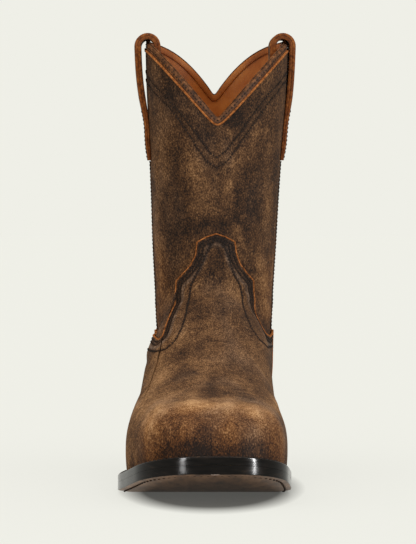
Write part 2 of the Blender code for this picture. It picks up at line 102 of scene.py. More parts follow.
# Sections of the shaft, floor to collar. height: share of SHAFT_HEIGHT. back, front: shares of COLLAR_DEPTH
# behind and ahead of the heel's middle. half: share of COLLAR_WIDTH.
SHAFT_SECTIONS = {
    "height": (0.14, 0.19, 0.24, 0.31, 0.38, 0.45, 0.54, 0.64, 0.71, 0.80, 0.90, 1.00),
    "back": (0.268, 0.315, 0.325, 0.305, 0.260, 0.232, 0.228, 0.245, 0.258, 0.275, 0.293, 0.300),
    "front": (0.52, 0.53, 0.54, 0.55, 0.57, 0.585, 0.600, 0.620, 0.637, 0.660, 0.685, 0.700),
    "half": (0.325, 0.365, 0.390, 0.398, 0.403, 0.413, 0.428, 0.441, 0.452, 0.470, 0.490, 0.500),
}

# Rings that the upper is laid out on, welt to collar. rise: share of SHAFT_HEIGHT climbed at the heel.
# follow: how far the ring keeps the sole's curve. tilt: climb towards the toe. collar: pull of the collar
# line. seam: share of the way round, front to back, at which the side seam crosses the ring.
RINGS = {
    "ring": (0.00, 0.10, 0.20, 0.30, 0.40, 0.50, 0.60, 0.70, 0.80, 0.90, 1.00),
    "rise": (0.000, 0.017, 0.037, 0.058, 0.082, 0.116, 0.176, 0.270, 0.390, 0.530, 0.700),
    "follow": (1.00, 0.97, 0.90, 0.75, 0.55, 0.30, 0.12, 0.03, 0.00, 0.00, 0.00),
    "tilt": (0.000, 0.012, 0.040, 0.075, 0.110, 0.140, 0.150, 0.120, 0.060, 0.020, 0.000),
    "collar": (0.00, 0.00, 0.00, 0.00, 0.00, 0.00, 0.00, 0.00, 0.10, 0.45, 1.00),
    "seam": (0.680, 0.672, 0.666, 0.652, 0.628, 0.594, 0.545, 0.497, 0.500, 0.500, 0.500),
}
HALVINGS = 20


@functools.lru_cache(maxsize=None)
def table_of(knots, *rows):
    """A table's knots and rows as arrays, with the slope of every row at every knot."""
    knots, rows = np.array(knots), np.array(rows)
    return knots, rows, np.gradient(rows, knots, axis=1)


def curves(x, knots, *rows):
    """Smooth lines through a table's rows: one cubic in each gap, its end slopes from the neighbours."""
    knots, rows, slopes = table_of(knots, *rows)
    x = np.clip(x, knots[0], knots[-1])
    i = np.clip(np.searchsorted(knots, x) - 1, 0, len(knots) - 2)
    step = knots[i + 1] - knots[i]
    t = (x - knots[i]) / step
    s = 1 - t
    start = rows[:, i] * (1 + 2 * t) * s * s + slopes[:, i] * step * t * s * s
    end = rows[:, i + 1] * t * t * (3 - 2 * t) - slopes[:, i + 1] * step * t * t * s
    return start + end


def curve(x, knots, row):
    """One smooth line."""
    return curves(x, knots, row)[0]


def ease(t):
    """0 to 1 with level ends."""
    t = np.clip(t, 0, 1)
    return t * t * (3 - 2 * t)


def swell(t):
    """0 to 1 as half a cosine wave."""
    return 0.5 - 0.5 * np.cos(math.pi * np.clip(t, 0, 1))


def tread_height(y):
    """Underside of the outsole: level at the heel, down the shank, level at the tread, and up at the toe."""
    breast = HEEL_LENGTH - HEEL_BACK
    toe = FOOT_LENGTH - HEEL_BACK
    shank = HEEL_HEIGHT * swell((y + TREAD_BACK) / (TREAD_BACK - breast))
    return shank + TOE_SPRING * np.clip((-y - TREAD_FRONT) / (toe - TREAD_FRONT), 0, None) ** SPRING_CURVE


def welt_height(y):
    """Top of the welt, on which the upper stands."""
    return tread_height(y) + OUTSOLE + SEAT_GAP + WELT


def foot_form(x, y, z):
    """Above zero inside the foot: one, less its squared-off width and height and its rounded ends."""
    station = np.clip((HEEL_BACK - y) / FOOT_LENGTH, 0, 1.2)
    rows = curves(station, *FOOT_SECTIONS.values())
    section = dict(zip(list(FOOT_SECTIONS)[1:], rows))
    outer = x < 0
    wide = BALL_WIDTH * np.where(outer, section["lateral"], section["medial"])
    low = BALL_WIDTH * np.where(outer, section["lateral_welt"], section["medial_welt"])
    up = z - welt_height(y)
    width = wide - (wide - low) * np.clip(1 - up / WIDEST_RISE, 0, 1) ** 2
    crown = np.maximum(INSTEP_HEIGHT * section["ridge"] - welt_height(y) - WIDEST_RISE, GAP)
    top = (np.clip(up - WIDEST_RISE, 0, None) / crown) ** section["top"]
    toe_start = 1 - TOE_ROUND / FOOT_LENGTH
    toe = (np.clip(station - toe_start, 0, None) / (1 - toe_start)) ** TOE_FULLNESS
    heel = np.clip(1 - (HEEL_BACK - y) / HEEL_ROUND, 0, None) ** 2
    return 1 - np.abs(x / width) ** section["side"] - top - toe - heel


def shaft_span(z):
    """Back, front and half width of the shaft at this height."""
    back, front, half = curves(np.asarray(z) / SHAFT_HEIGHT, *SHAFT_SECTIONS.values())
    return COLLAR_DEPTH * back, -COLLAR_DEPTH * front, COLLAR_WIDTH * half


def shaft_middle():
    """Middle of the collar, along the boot."""
    back, front, _ = shaft_span(SHAFT_HEIGHT)
    return (back + front) / 2


def lean(y, z):
    """Sideways shift of the shaft: it leans inwards as it rises, and is turned a little on the foot."""
    risen = ease((z - INSTEP_HEIGHT) / (SHAFT_HEIGHT - INSTEP_HEIGHT))
    return risen * (SHAFT_LEAN + SHAFT_TURN * (shaft_middle() - y))


def shaft_form(x, y, z):
    """Above zero inside the shaft and the heel: one, less a squared-off oval."""
    back, front, half = shaft_span(z)
    middle, reach = (back + front) / 2, (back - front) / 2
    across, along = np.abs(x / half), np.abs((y - middle) / reach)
    return 1 - across**SHAFT_SQUARENESS - along**SHAFT_SQUARENESS


def upright_form(x, y, z):
    """Foot and shaft as one, with a soft hollow at the instep, before the shaft's lean."""
    foot, shaft = foot_form(x, y, z), shaft_form(x, y, z)
    near = np.clip(1 - np.abs(foot - shaft) / INSTEP_BLEND, 0, None)
    return np.maximum(foot, shaft) + near * near * INSTEP_BLEND / 4


def form(x, y, z):
    """Above zero inside the boot."""
    return upright_form(x - lean(y, z), y, z)


def rim_height(x, y):
    """Collar line: a straight-sided dip in front, a rounder one behind, and a peak over each side seam."""
    half = shaft_span(SHAFT_HEIGHT)[2]
    away = np.clip((np.hypot(x, DIP_ROUND) - DIP_ROUND) / (half - DIP_ROUND / 2), 0, 1)
    dip = np.where(y < shaft_middle(), FRONT_DIP * (1 - away), BACK_DIP * (1 - away) ** 2)
    return SHAFT_HEIGHT - dip


def ring_height(x, y, v):
    """Height of ring v at a place along the boot."""
    rise, follow, tilt, pull, _ = curves(v, *RINGS.values())
    heel = welt_height(0.0)
    plain = heel + FIT + SHAFT_HEIGHT * rise + follow * (welt_height(y) - heel) - tilt * y
    return plain * (1 - pull) + rim_height(x, y) * pull


def reach_from(x, y, along_x, along_y, height):
    """Distance from a line inside the boot to its outer face, by halving the span between in and out."""
    near, far = np.zeros_like(x), np.full_like(x, FOOT_LENGTH)
    for _ in range(HALVINGS):
        middle = (near + far) / 2
        px, py = x + middle * along_x, y + middle * along_y
        inside = upright_form(px, py, height(px, py)) > 0
        near, far = np.where(inside, middle, near), np.where(inside, far, middle)
    return near


def surface(u, v, side):
    """Point of the upper's outer face. u: 0 at the front to 1 at the back. v: 0 at the welt to 1 at the
    collar. side: -1 on the outer side and +1 on the inner. Rays fan out from a line inside the boot."""
    v = np.asarray(v, float)
    none, one = np.zeros_like(v), np.ones_like(v)

    def height(x, y):
        return ring_height(x, y, v)

    start = shaft_middle() * one
    tip = start - reach_from(none, start, none, -one, height)
    tail = start + reach_from(none, start, none, one, height)
    u, v, side, tip, tail = (np.array(a, float) for a in np.broadcast_arrays(u, v, side, tip, tail))
    end_round = np.minimum(0.46 * BALL_WIDTH, 0.38 * (tail - tip))
    angle = math.pi * u
    y = (tip + tail) / 2 - ((tail - tip) / 2 - end_round) * np.cos(angle)
    along_x, along_y = side * np.sin(angle), -np.cos(angle)
    reach = reach_from(np.zeros_like(y), y, along_x, along_y, height)
    px, py = reach * along_x, y + reach * along_y
    z = height(px, py)
    return np.stack([px + lean(py, z), py, z], -1)


def unit(vectors):
    """Vectors brought to length one."""
    return vectors / np.linalg.norm(vectors, axis=-1, keepdims=True)


def normals(points):
    """Unit normals of the outer face, from the form's slopes over a fifth of a millimetre."""
    step = 0.0002
    x, y, z = points[..., 0], points[..., 1], points[..., 2]
    slope_x = form(x - step, y, z) - form(x + step, y, z)
    slope_y = form(x, y - step, z) - form(x, y + step, z)
    slope_z = form(x, y, z - step) - form(x, y, z + step)
    return unit(np.stack([slope_x, slope_y, slope_z], -1))


def level_normals(points):
    """Unit normals with no climb."""
    return unit(normals(points) * (1, 1, 0))


def at_height(points, height):
    """The same places at another height, which may be a value or follow from the points."""
    moved = points.copy()
    moved[..., 2] = height
    return moved


def seam_at(v):
    """u of the side seam: the middle of the shaft, and further back down at the welt."""
    return curve(v, RINGS["ring"], RINGS["seam"])


def between_seams(around, v, from_back):
    """u at a share of the way from the front, or from the back, to the side seam."""
    seam = seam_at(v)
    return 1 - around * (1 - seam) if from_back else around * seam


def climb_to(around, height, side, from_back):
    """Ring value at which the line at each share of the way to the side seam reaches its height."""
    v = np.linspace(0, 1, 101)
    line = surface(between_seams(around, v[:, None], from_back), v[:, None], side)[..., 2]
    return np.array([np.interp(goal, column, v) for goal, column in zip(height, line.T)])


# Soft folds and worn patches. view: the side they are seen from. from_a, to_a: start and end, mm across the
# view (x, or y for the two sides) and mm up. wide: mm. lift: mm out of the leather.
# tone: paler above zero, darker below. It is partly the leather's own scuffs and patches and partly painted
# light: painted highlight on the raised folds and the toe's ridge, painted shade in the troughs and low near
# the welt.
MARKS = (
    # view, from across, from up, to across, to up, wide, lift, tone
    ("front", 25, 226, 11, 198, 3.4, 0.50, 0.55),
    ("front", 11, 198, 4, 180, 3.4, 0.40, 0.50),
    ("front", 20, 212, 14, 197, 4.0, -0.45, -0.50),
    ("front", 33, 214, 24, 189, 6.5, -0.35, -0.40),
    ("front", 36, 222, 46, 232, 3.5, 0.25, 0.35),
    ("front", 27, 234, 36, 236.5, 1.5, 0.10, 0.90),
    ("front", 9.2, 237.5, 11.8, 233, 1.3, 0.10, 1.20),
    ("front", 3, 238, 0, 236.5, 1.6, 0.00, 0.60),
    ("front", -3, 225, 2, 222, 4.0, 0.30, 0.40),
    ("front", 9, 218, 12, 214, 3.0, 0.30, 0.60),
    ("front", -12, 219, -10, 214, 3.2, 0.20, 0.35),
    ("front", -4, 237, 17, 246, 5.0, -0.20, -0.45),
    ("front", 17, 246, 28, 259, 5.0, -0.20, -0.45),
    ("front", -29, 261, -7, 231, 6.0, -0.10, -0.50),
    ("front", -26, 227, -24, 202, 4.5, -0.40, -0.45),
    ("front", -24, 202, -25, 168, 4.5, -0.25, -0.28),
    ("front", -35, 231, -33, 205, 4.2, 0.30, 0.28),
    ("front", -13, 209, -12, 185, 5.0, 0.30, 0.32),
    ("front", -1, 200, -3, 180, 5.0, 0.20, 0.30),
    ("front", -15, 169, -6, 173, 4.5, -0.30, -0.62),
    ("front", -6, 173, 8, 176, 4.5, -0.30, -0.62),
    ("front", 8, 176, 19, 168, 4.0, -0.20, -0.35),
    ("front", 7, 180, 15, 170, 2.2, 0.50, 0.55),
    ("front", 15, 170, 24, 152, 2.4, 0.50, 0.60),
    ("front", -37, 167, -36, 120, 3.6, 0.30, 0.38),
    ("front", -31, 167, -30, 131, 3.6, -0.35, -0.50),
    ("front", -26, 110, -31, 100, 4.0, -0.10, -0.30),
    ("front", 32, 147, 36, 107, 2.8, 0.50, 0.65),
    ("front", 28, 124, 33, 104, 3.2, -0.30, -0.32),
    ("front", 39, 198, 37, 162, 3.4, 0.25, 0.36),
    ("front", 32, 188, 32, 160, 4.0, -0.30, -0.36),
    ("front", -41, 192, -40, 155, 2.6, 0.00, 0.32),
    ("front", 43.5, 201, 42, 162, 2.6, 0.00, 0.38),
    ("front", -7.5, 131, -8, 121, 4.0, 0.15, 0.40),
    ("front", 13, 129, 14, 119, 4.0, 0.15, 0.36),
    ("front", -12, 119, -13, 108, 4.5, -0.20, -0.42),
    ("front", 2, 150, 2, 138, 5.5, 0.00, -0.55),
    ("front", -21, 84, -22, 76, 4.2, -0.15, -0.42),
    ("front", -1, 75, -2, 69, 2.8, -0.15, -0.60),
    ("front", 21, 99, 22, 90, 4.0, -0.15, -0.36),
    ("front", 25, 82, 25, 75, 4.0, -0.10, -0.32),
    ("front", -34, 80, -40, 68, 4.0, 0.20, 0.35),
    ("front", -47, 53, -34, 57, 2.4, 0.70, 0.60),
    ("front", -34, 57, -14, 60, 2.4, 0.95, 0.80),
    ("front", -14, 60, 8, 59, 2.4, 0.95, 0.80),
    ("front", 8, 59, 25, 56, 2.4, 0.95, 0.75),
    ("front", 25, 56, 40, 55, 2.4, 0.70, 0.70),
    ("front", -26, 66, 28, 64, 3.4, -0.40, -0.30),
    ("front", -20, 52, -20, 47, 4.0, -0.10, -0.35),
    ("front", 25, 50, 25, 46, 3.4, 0.10, 0.40),
    ("front", -47, 46, -40, 50, 3.0, 0.10, 0.35),
    ("front", -48, 40, -46, 28, 5.0, 0.00, -0.60),
    ("front", -28, 37, 28, 37, 4.0, 0.00, -0.70),
    ("outer", -98, 92, -66, 84, 3.4, 0.70, 0.40),
    ("outer", -92, 84, -60, 76, 3.4, -0.60, -0.40),
    ("outer", -64, 118, -30, 108, 3.6, 0.60, 0.35),
    ("outer", -60, 108, -30, 99, 3.4, -0.50, -0.35),
    ("outer", 8, 128, -18, 116, 3.6, 0.55, 0.30),
    ("outer", 10, 118, -14, 107, 3.2, -0.50, -0.35),
    ("outer", -52, 210, -44, 160, 5.0, 0.40, 0.35),
    ("outer", -4, 250, 4, 190, 5.5, -0.35, -0.40),
    ("outer", 16, 215, 12, 160, 5.0, 0.35, 0.40),
    ("outer", -190, 52, -160, 60, 5.0, 0.25, 0.40),
    ("inner", -98, 92, -66, 84, 3.4, 0.70, 0.40),
    ("inner", -90, 83, -58, 75, 3.4, -0.60, -0.40),
    ("inner", -66, 120, -32, 110, 3.6, 0.60, 0.35),
    ("inner", -62, 109, -32, 100, 3.4, -0.50, -0.35),
    ("inner", 8, 126, -18, 117, 3.6, 0.55, 0.30),
    ("inner", 10, 117, -14, 108, 3.2, -0.50, -0.35),
    ("inner", -50, 220, -46, 165, 5.0, -0.35, -0.35),
    ("inner", -2, 240, 4, 185, 5.5, 0.40, 0.40),
    ("inner", 18, 210, 12, 160, 5.0, -0.35, -0.30),
    ("inner", -186, 50, -150, 58, 5.0, 0.25, 0.40),
    ("back", -16, 230, -13, 160, 5.0, 0.40, 0.40),
    ("back", 8, 240, 12, 170, 5.5, -0.40, -0.40),
    ("back", -24, 140, 24, 142, 3.6, 0.55, 0.35),
    ("back", -22, 132, 22, 134, 3.2, -0.50, -0.35),
    ("back", 0, 92, 0, 60, 9.0, 0.00, 0.35),
    ("back", -20, 52, 20, 52, 5.0, 0.00, -0.50),
)
LOOKS = {"front": (0, -1), "back": (0, 1), "outer": (1, -1), "inner": (1, 1)}


def marks(points, out):
    """Lift in metres and tone at each point, from every mark: a bell across it, a soft fall past its ends,
    and none where the face turns away from the mark's view."""
    lift, tone = np.zeros(points.shape[:-1]), np.zeros(points.shape[:-1])
    for view, a0, b0, a1, b1, wide, high, pale in MARKS:
        axis, sign = LOOKS[view]
        sideways = out[..., 0] if axis else out[..., 1] - 0.4 * out[..., 2] * (sign < 0)
        seen = ease((sign * sideways - 0.05) / 0.35)
        across, up = points[..., axis] * 1000 - a0, points[..., 2] * 1000 - b0
        run, climb = a1 - a0, b1 - b0
        along = np.clip((across * run + up * climb) / (run * run + climb * climb), 0, 1)
        away = (across - along * run) ** 2 + (up - along * climb) ** 2
        bell = seen * np.exp(-away / (2 * wide * wide))
        lift += high / 1000 * bell
        tone += pale * bell
    return lift, tone


def relief(points, out):
    """How far the leather stands off its plain form: the marks, faded at the welt and under the collar."""
    low = ease((points[..., 2] - welt_height(points[..., 1]) - 0.004) / 0.010)
    high = ease((rim_height(points[..., 0], points[..., 1]) - points[..., 2]) / 0.012)
    return marks(points, out)[0] * low * high


def laid(points, lift):
    """Points of the plain form carried along their normals to the folded leather, and further by lift."""
    out = normals(points)
    return points + (relief(points, out) + lift)[..., None] * out


def near(points, line, reach=0.012):
    """Distance from each point to the nearest point of a line, up to a reach."""
    flat = points.reshape(-1, 3)
    best = np.full(len(flat), reach)
    close = ((flat > line.min(0) - reach) & (flat < line.max(0) + reach)).all(1)
    close = np.flatnonzero(close)
    for few in np.array_split(close, max(1, len(close) // 3000)):
        gaps = ((flat[few, None] - line[None]) ** 2).sum(-1).min(1)
        best[few] = np.minimum(best[few], np.sqrt(gaps))
    return best.reshape(points.shape[:-1])


def length_along(path):
    """Length of a path up to each of its points."""
    return np.concatenate([[0], np.cumsum(np.linalg.norm(np.diff(path, axis=0), axis=-1))])


def evenly(path, step):
    """A path's points moved to even distances along it, as near to the step as a whole number allows."""
    run = length_along(path)
    goal = np.linspace(0, run[-1], max(2, round(run[-1] / step)))
    return np.stack([np.interp(goal, run, path[:, k]) for k in range(3)], -1)


def grid_faces(rows, columns, round_rows=False, round_columns=False):
    """Quads between neighbours on a grid, joined round where asked."""
    r = np.arange(rows if round_rows else rows - 1)[:, None]
    c = np.arange(columns if round_columns else columns - 1)[None]
    below, beside = (r + 1) % rows, (c + 1) % columns
    corners = (r * columns + c, r * columns + beside, below * columns + beside, below * columns + c)
    return np.stack(np.broadcast_arrays(*corners), -1).reshape(-1, 4)


def shell_faces(rows, columns):
    """Quads of two sheets of the same grid, one after the other, and of the wall round their rim."""
    outer = grid_faces(rows, columns)
    count = rows * columns
    i = np.arange(count).reshape(rows, columns)
    rim = np.concatenate([i[0, :-1], i[:-1, -1], i[-1, :0:-1], i[:0:-1, 0]])
    ahead = np.roll(rim, -1)
    walls = np.stack([ahead, rim, rim + count, ahead + count], -1)
    return np.concatenate([outer, outer[:, ::-1] + count, walls])


def piece(name, points, faces, finishes, finish_of=None, values=None, weld=False):
    """An object at the origin from arrays, with its closed surface turned outwards: the volume, summed as
    the triple product of each quad's corners, has to come out positive."""
    points = np.asarray(points, float).reshape(-1, 3)
    a, b, c, d = (points[faces[:, k]] for k in range(4))
    volume = (a * np.cross(b, c)).sum() + (a * np.cross(c, d)).sum()
    if volume < 0:
        faces = faces[:, ::-1]
    mesh = bpy.data.meshes.new(name)
    mesh.vertices.add(len(points))
    mesh.vertices.foreach_set("co", points.astype(np.float32).ravel())
    mesh.loops.add(faces.size)
    mesh.loops.foreach_set("vertex_index", np.ascontiguousarray(faces, np.int32).ravel())
    mesh.polygons.add(len(faces))
    mesh.polygons.foreach_set("loop_start", np.arange(0, faces.size, 4, dtype=np.int32))
    if finish_of is not None:
        mesh.polygons.foreach_set("material_index", np.ascontiguousarray(finish_of, np.int32))
    for key, value in (values or {}).items():
        layer = mesh.attributes.new(key, "FLOAT", "POINT")
        layer.data.foreach_set("value", np.asarray(value, np.float32).ravel())
    mesh.update(calc_edges=True)
    if weld:
        work = bmesh.new()
        work.from_mesh(mesh)
        bmesh.ops.remove_doubles(work, verts=work.verts, dist=1e-7)
        work.to_mesh(mesh)
        work.free()
    mesh.shade_smooth()
    for finish in finishes:
        mesh.materials.append(finish)
    made = bpy.data.objects.new(name, mesh)
    bpy.context.scene.collection.objects.link(made)
    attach(made, "root")
    return made


def linear(colour):
    """A linear colour from an sRGB hex value."""
    parts = [int(colour[i:i + 2], 16) / 255 for i in (1, 3, 5)]
    return (*[c / 12.92 if c <= 0.04045 else ((c + 0.055) / 1.055) ** 2.4 for c in parts], 1.0)


def add(tree, kind, sockets=None, stops=(), **settings):
    """A new node with its settings, its socket values, links from other nodes' outputs, and the places and
    sRGB colours of its stops where it has them."""
    made = tree.nodes.new(kind)
    for name, value in settings.items():
        setattr(made, name, value)
    for index, (place, colour) in enumerate(stops):
        points = made.color_ramp.elements
        point = points[index] if index < 2 else points.new(place)
        point.position, point.color = place, linear(colour)
    for key, value in (sockets or {}).items():
        if isinstance(value, bpy.types.NodeSocket):
            tree.links.new(value, made.inputs[key])
        else:
            made.inputs[key].default_value = value
    return made


def finish(name, **values):
    """A new material, its tree and its Principled shader with the values that are the same all over."""
    made = bpy.data.materials.new(name)
    made.use_nodes = True
    shader = made.node_tree.nodes["Principled BSDF"]
    for key, value in values.items():
        shader.inputs[key.replace("_", " ")].default_value = value
    return made, made.node_tree, shader


def mottled(name, noise, stops, bump=None, stretch=(1.0, 1.0, 1.0), grain=None, **values):
    """A finish whose colours follow one noise, drawn out by stretch. bump is the strength and depth of its
    relief, which follows the same noise, or grain: another texture's kind, sockets and output."""
    made, tree, shader = finish(name, **values)
    place = add(tree, "ShaderNodeTexCoord").outputs["Object"]
    drawn = add(tree, "ShaderNodeMapping", {"Vector": place, "Scale": stretch}).outputs["Vector"]
    height = add(tree, "ShaderNodeTexNoise", {"Vector": drawn, **noise}).outputs["Fac"]
    colour = add(tree, "ShaderNodeValToRGB", {"Fac": height}, stops).outputs["Color"]
    tree.links.new(colour, shader.inputs["Base Color"])
    if grain:
        kind, sockets, output = grain
        height = add(tree, kind, {"Vector": place, **sockets}).outputs[output]
    if bump:
        sockets = {"Height": height, "Strength": bump[0], "Distance": bump[1]}
        raised = add(tree, "ShaderNodeBump", sockets).outputs["Normal"]
        tree.links.new(raised, shader.inputs["Normal"])
    return made


# Dark to pale: brown of the waxed nap, orange of the worn nap, and grey-brown where the wax is rubbed.
ROUGHOUT_COLOURS = (
    ((0.0, "#1c120b"), (0.3, "#47301e"), (0.5, "#684a30"), (0.72, "#8c6644"), (0.97, "#b68d64")),
    ((0.0, "#22130a"), (0.35, "#663d1e"), (0.6, "#95683f"), (0.95, "#c99c6e")),
    ((0.0, "#1a120e"), (0.4, "#4a382c"), (0.95, "#92796a")),
)


def roughout_finish():
    """Waxed roughout cowhide, brushed: a matt brown nap, clouded by uneven wax. Its tufts are drawn nearly
    1 mm wide, coarser than they are, so that they show."""
    made, tree, shader = finish("waxed_roughout_cowhide", Specular_IOR_Level=0.05)
    place = add(tree, "ShaderNodeTexCoord").outputs["Object"]
    streaked = add(tree, "ShaderNodeMapping", {"Vector": place, "Scale": (1.0, 0.7, 0.38)}).outputs["Vector"]
    brushed = add(tree, "ShaderNodeMapping", {"Vector": place, "Scale": (1.0, 0.85, 0.62)}).outputs["Vector"]
    clouds, blots, tufts, smears = (
        add(tree, "ShaderNodeTexNoise", {"Vector": way, "Scale": scale, "Detail": detail, "Roughness": fine})
        for way, scale, detail, fine in (
            (streaked, 62.0, 4.0, 0.6), (place, 210.0, 3.0, 0.6),
            (brushed, 1250.0, 2.0, 0.7), (streaked, 38.0, 2.0, 0.5),
        )
    )
    tone, nap, burnish = (
        add(tree, "ShaderNodeAttribute", attribute_name=key).outputs["Fac"]
        for key in ("tone", "nap", "burnish")
    )
    level = add(tree, "ShaderNodeMath", {0: tone, 1: 0.24, 2: -1.08}, operation="MULTIPLY_ADD").outputs[0]
    for noise, gain in ((clouds, 0.80), (blots, 0.50), (tufts, 1.65)):
        sockets = {0: noise.outputs["Fac"], 1: gain, 2: level}
        level = add(tree, "ShaderNodeMath", sockets, operation="MULTIPLY_ADD").outputs[0]
    brown, fuzz, waxed = (
        add(tree, "ShaderNodeValToRGB", {"Fac": level}, stops).outputs["Color"] for stops in ROUGHOUT_COLOURS
    )
    body = add(tree, "ShaderNodeMix", {0: nap, 6: brown, 7: fuzz}, data_type="RGBA").outputs[2]
    sockets = {0: smears.outputs["Fac"], 1: 3.2, 2: -1.55}
    rubbed = add(tree, "ShaderNodeMath", sockets, operation="MULTIPLY_ADD", use_clamp=True).outputs[0]
    sockets = {0: rubbed, 1: 0.6, 2: burnish}
    burnish = add(tree, "ShaderNodeMath", sockets, operation="MULTIPLY_ADD", use_clamp=True).outputs[0]
    shade = add(tree, "ShaderNodeMix", {0: burnish, 6: body, 7: waxed}, data_type="RGBA").outputs[2]
    tree.links.new(shade, shader.inputs["Base Color"])
    rough = add(tree, "ShaderNodeMath", {0: burnish, 1: -0.25, 2: 0.95}, operation="MULTIPLY_ADD").outputs[0]
    tree.links.new(rough, shader.inputs["Roughness"])
    sockets = {"Height": tufts.outputs["Fac"], "Strength": 0.55, "Distance": 0.0009}
    pile = add(tree, "ShaderNodeBump", sockets).outputs["Normal"]
    sockets = {"Height": blots.outputs["Fac"], "Strength": 0.5, "Distance": 0.0016, "Normal": pile}
    hide = add(tree, "ShaderNodeBump", sockets).outputs["Normal"]
    tree.links.new(hide, shader.inputs["Normal"])
    return made


def lining_finish():
    """Vegetable-tanned calf lining, smooth side in: orange-brown, satin, with pores 0.8 mm apart."""
    return mottled(
        "smooth_calf_lining", {"Scale": 55.0, "Detail": 4.0},
        ((0.3, "#84481d"), (0.5, "#ab6029"), (0.7, "#c27838")), (0.25, 0.0003),
        grain=("ShaderNodeTexVoronoi", {"Scale": 1250.0}, "Distance"),
        Roughness=0.65, Specular_IOR_Level=0.08,
    )


ROUGHOUT = roughout_finish()
LINING = lining_finish()


def leather_values(points, out, tone, burnish):
    """Values that the roughout's finish reads: tone of the marks; paler over the vamp, a painted highlight
    on the foot's top, and darker in the lowest 16 mm and at the toe's tip, painted shade; orange nap at the
    toe and low on the shaft, and the wax burnish."""
    x, y, z = points[..., 0], points[..., 1], points[..., 2]
    pale = marks(points, out)[1]
    up = z - welt_height(y)
    vamp = ease((-y - 0.080) / 0.03) * ease((0.150 - z) / 0.05)
    low = ease((0.016 - up) / 0.016)
    tip = ease((-y - 0.236) / 0.014) * ease((0.038 - up) / 0.014)
    # Painted light: the vamp's 0.45 is a painted highlight where the top of the foot faces the light; the
    # low band's 0.65 along the welt and the tip's 0.40 on the toe's front are painted shade.
    pale = pale + 0.45 * vamp - 0.42 - 0.40 * tip - 0.65 * low
    toe = ease((-y - 0.205) / 0.03) * ease((0.046 - up) / 0.012)
    flank = ease((0.175 - z) / 0.05) * ease((z - 0.085) / 0.03) * ease((np.abs(x) - 0.022) / 0.02)
    nap = np.clip(0.75 * toe + 0.50 * flank * (1 - vamp) + 0.18, 0, 1)
    return {"tone": pale + tone, "nap": nap * (1 - burnish), "burnish": burnish}


def along_rings(count, top=1.0, columns=(0.0, 0.25, 0.5, 0.75, 1.0)):
    """Ring values at even distances up the face, by the longest of a few columns."""
    v = np.linspace(0, top, 401)
    lines = surface(np.array(columns), v[:, None], -1.0)
    legs = np.linalg.norm(np.diff(lines, axis=0), axis=2).max(1)
    run = np.concatenate([[0], np.cumsum(legs)])
    return np.interp(np.linspace(0, run[-1], count), run, v)


def around_of(x, z, side):
    """Shares of the way from the front to the side seam at which the face stands x off the middle at height
    z, read off a coarse grid of the face."""
    share, v = np.linspace(0, 1, 121), np.linspace(0, 1, 141)[:, None]
    grid = surface(between_seams(share, v, False), v, side)
    found = []
    for off, high in zip(x, z):
        line = [np.interp(high, up, out) for up, out in zip(grid[..., 2].T, side * grid[..., 0].T)]
        found.append(np.interp(off, np.maximum.accumulate(line), share))
    return np.array(found)


def line_on(around, height, side, from_back=False):
    """Points of the plain form along a line given by its heights at shares of the way round."""
    v = climb_to(around, height, side, from_back)
    return surface(between_seams(around, v, from_back), v, side)


# Rows of stitches under the collar, mm across and up, on the outer and the inner side of the front.
V_ROWS = (
    ((-2, 211.5), (5, 215.5), (11, 224), (17, 233.5), (23, 242.5), (29.5, 251.5), (37, 259), (44, 267)),
    ((-2, 211.5), (9, 216), (17.5, 228), (27.7, 242.5), (38, 257), (47, 269)),
    ((-2, 218.5), (2.5, 221), (10.3, 232), (16.4, 239.7), (22.5, 248), (33.5, 260.5), (43.5, 271.5)),
    ((-2, 218.5), (8, 222.8), (17.5, 235), (27.7, 249.3), (38, 263), (48, 274.5)),
)
V_SIDE = (0.2735, 0.2795)
V_BACK = (0.0320, 0.0255)


def v_row(number):
    """One of the two rows round the collar: through the table in front, level with the dip behind."""
    halves = []
    for side in (-1.0, 1.0):
        table = np.array(V_ROWS[2 * number + (side > 0)]) / 1000
        spots = around_of(table[:, 0], table[:, 1], side)
        around = np.linspace(0, 0.995, 120)
        heights = np.interp(around, [*spots, 1.0], [*table[:, 1], V_SIDE[number]])
        front = line_on(around, heights, side)
        back = np.linspace(1.0, 0.0, 100)
        top = surface(between_seams(back, np.ones_like(back), True), 1.0, side)
        drop = V_BACK[number] + (SHAFT_HEIGHT - V_SIDE[number] - V_BACK[number]) * ease((back - 0.5) / 0.5)
        halves.append(np.concatenate([front, line_on(back, top[:, 2] - drop, side, True)]))
    return np.concatenate([halves[0], halves[1][::-1]])


# Distance between the points of a sewn line.
LINE_STEP = 0.0006
V_LINES = [evenly(v_row(number), LINE_STEP) for number in (0, 1)]
# Pitch, length and width of their stitches. Width and depth of the furrow they lie in. Width of the
# waxed band beside it.
V_STITCH = (0.0024, 0.0018, 0.0010)
V_FURROW = (0.0007, 0.0004)
V_HALO = 0.0030


def furrows(gaps, wide):
    """One in the middle of each sewn line, falling off as a bell: from the distances to the lines."""
    return sum(np.exp(-((gap / wide) ** 2)) for gap in gaps)


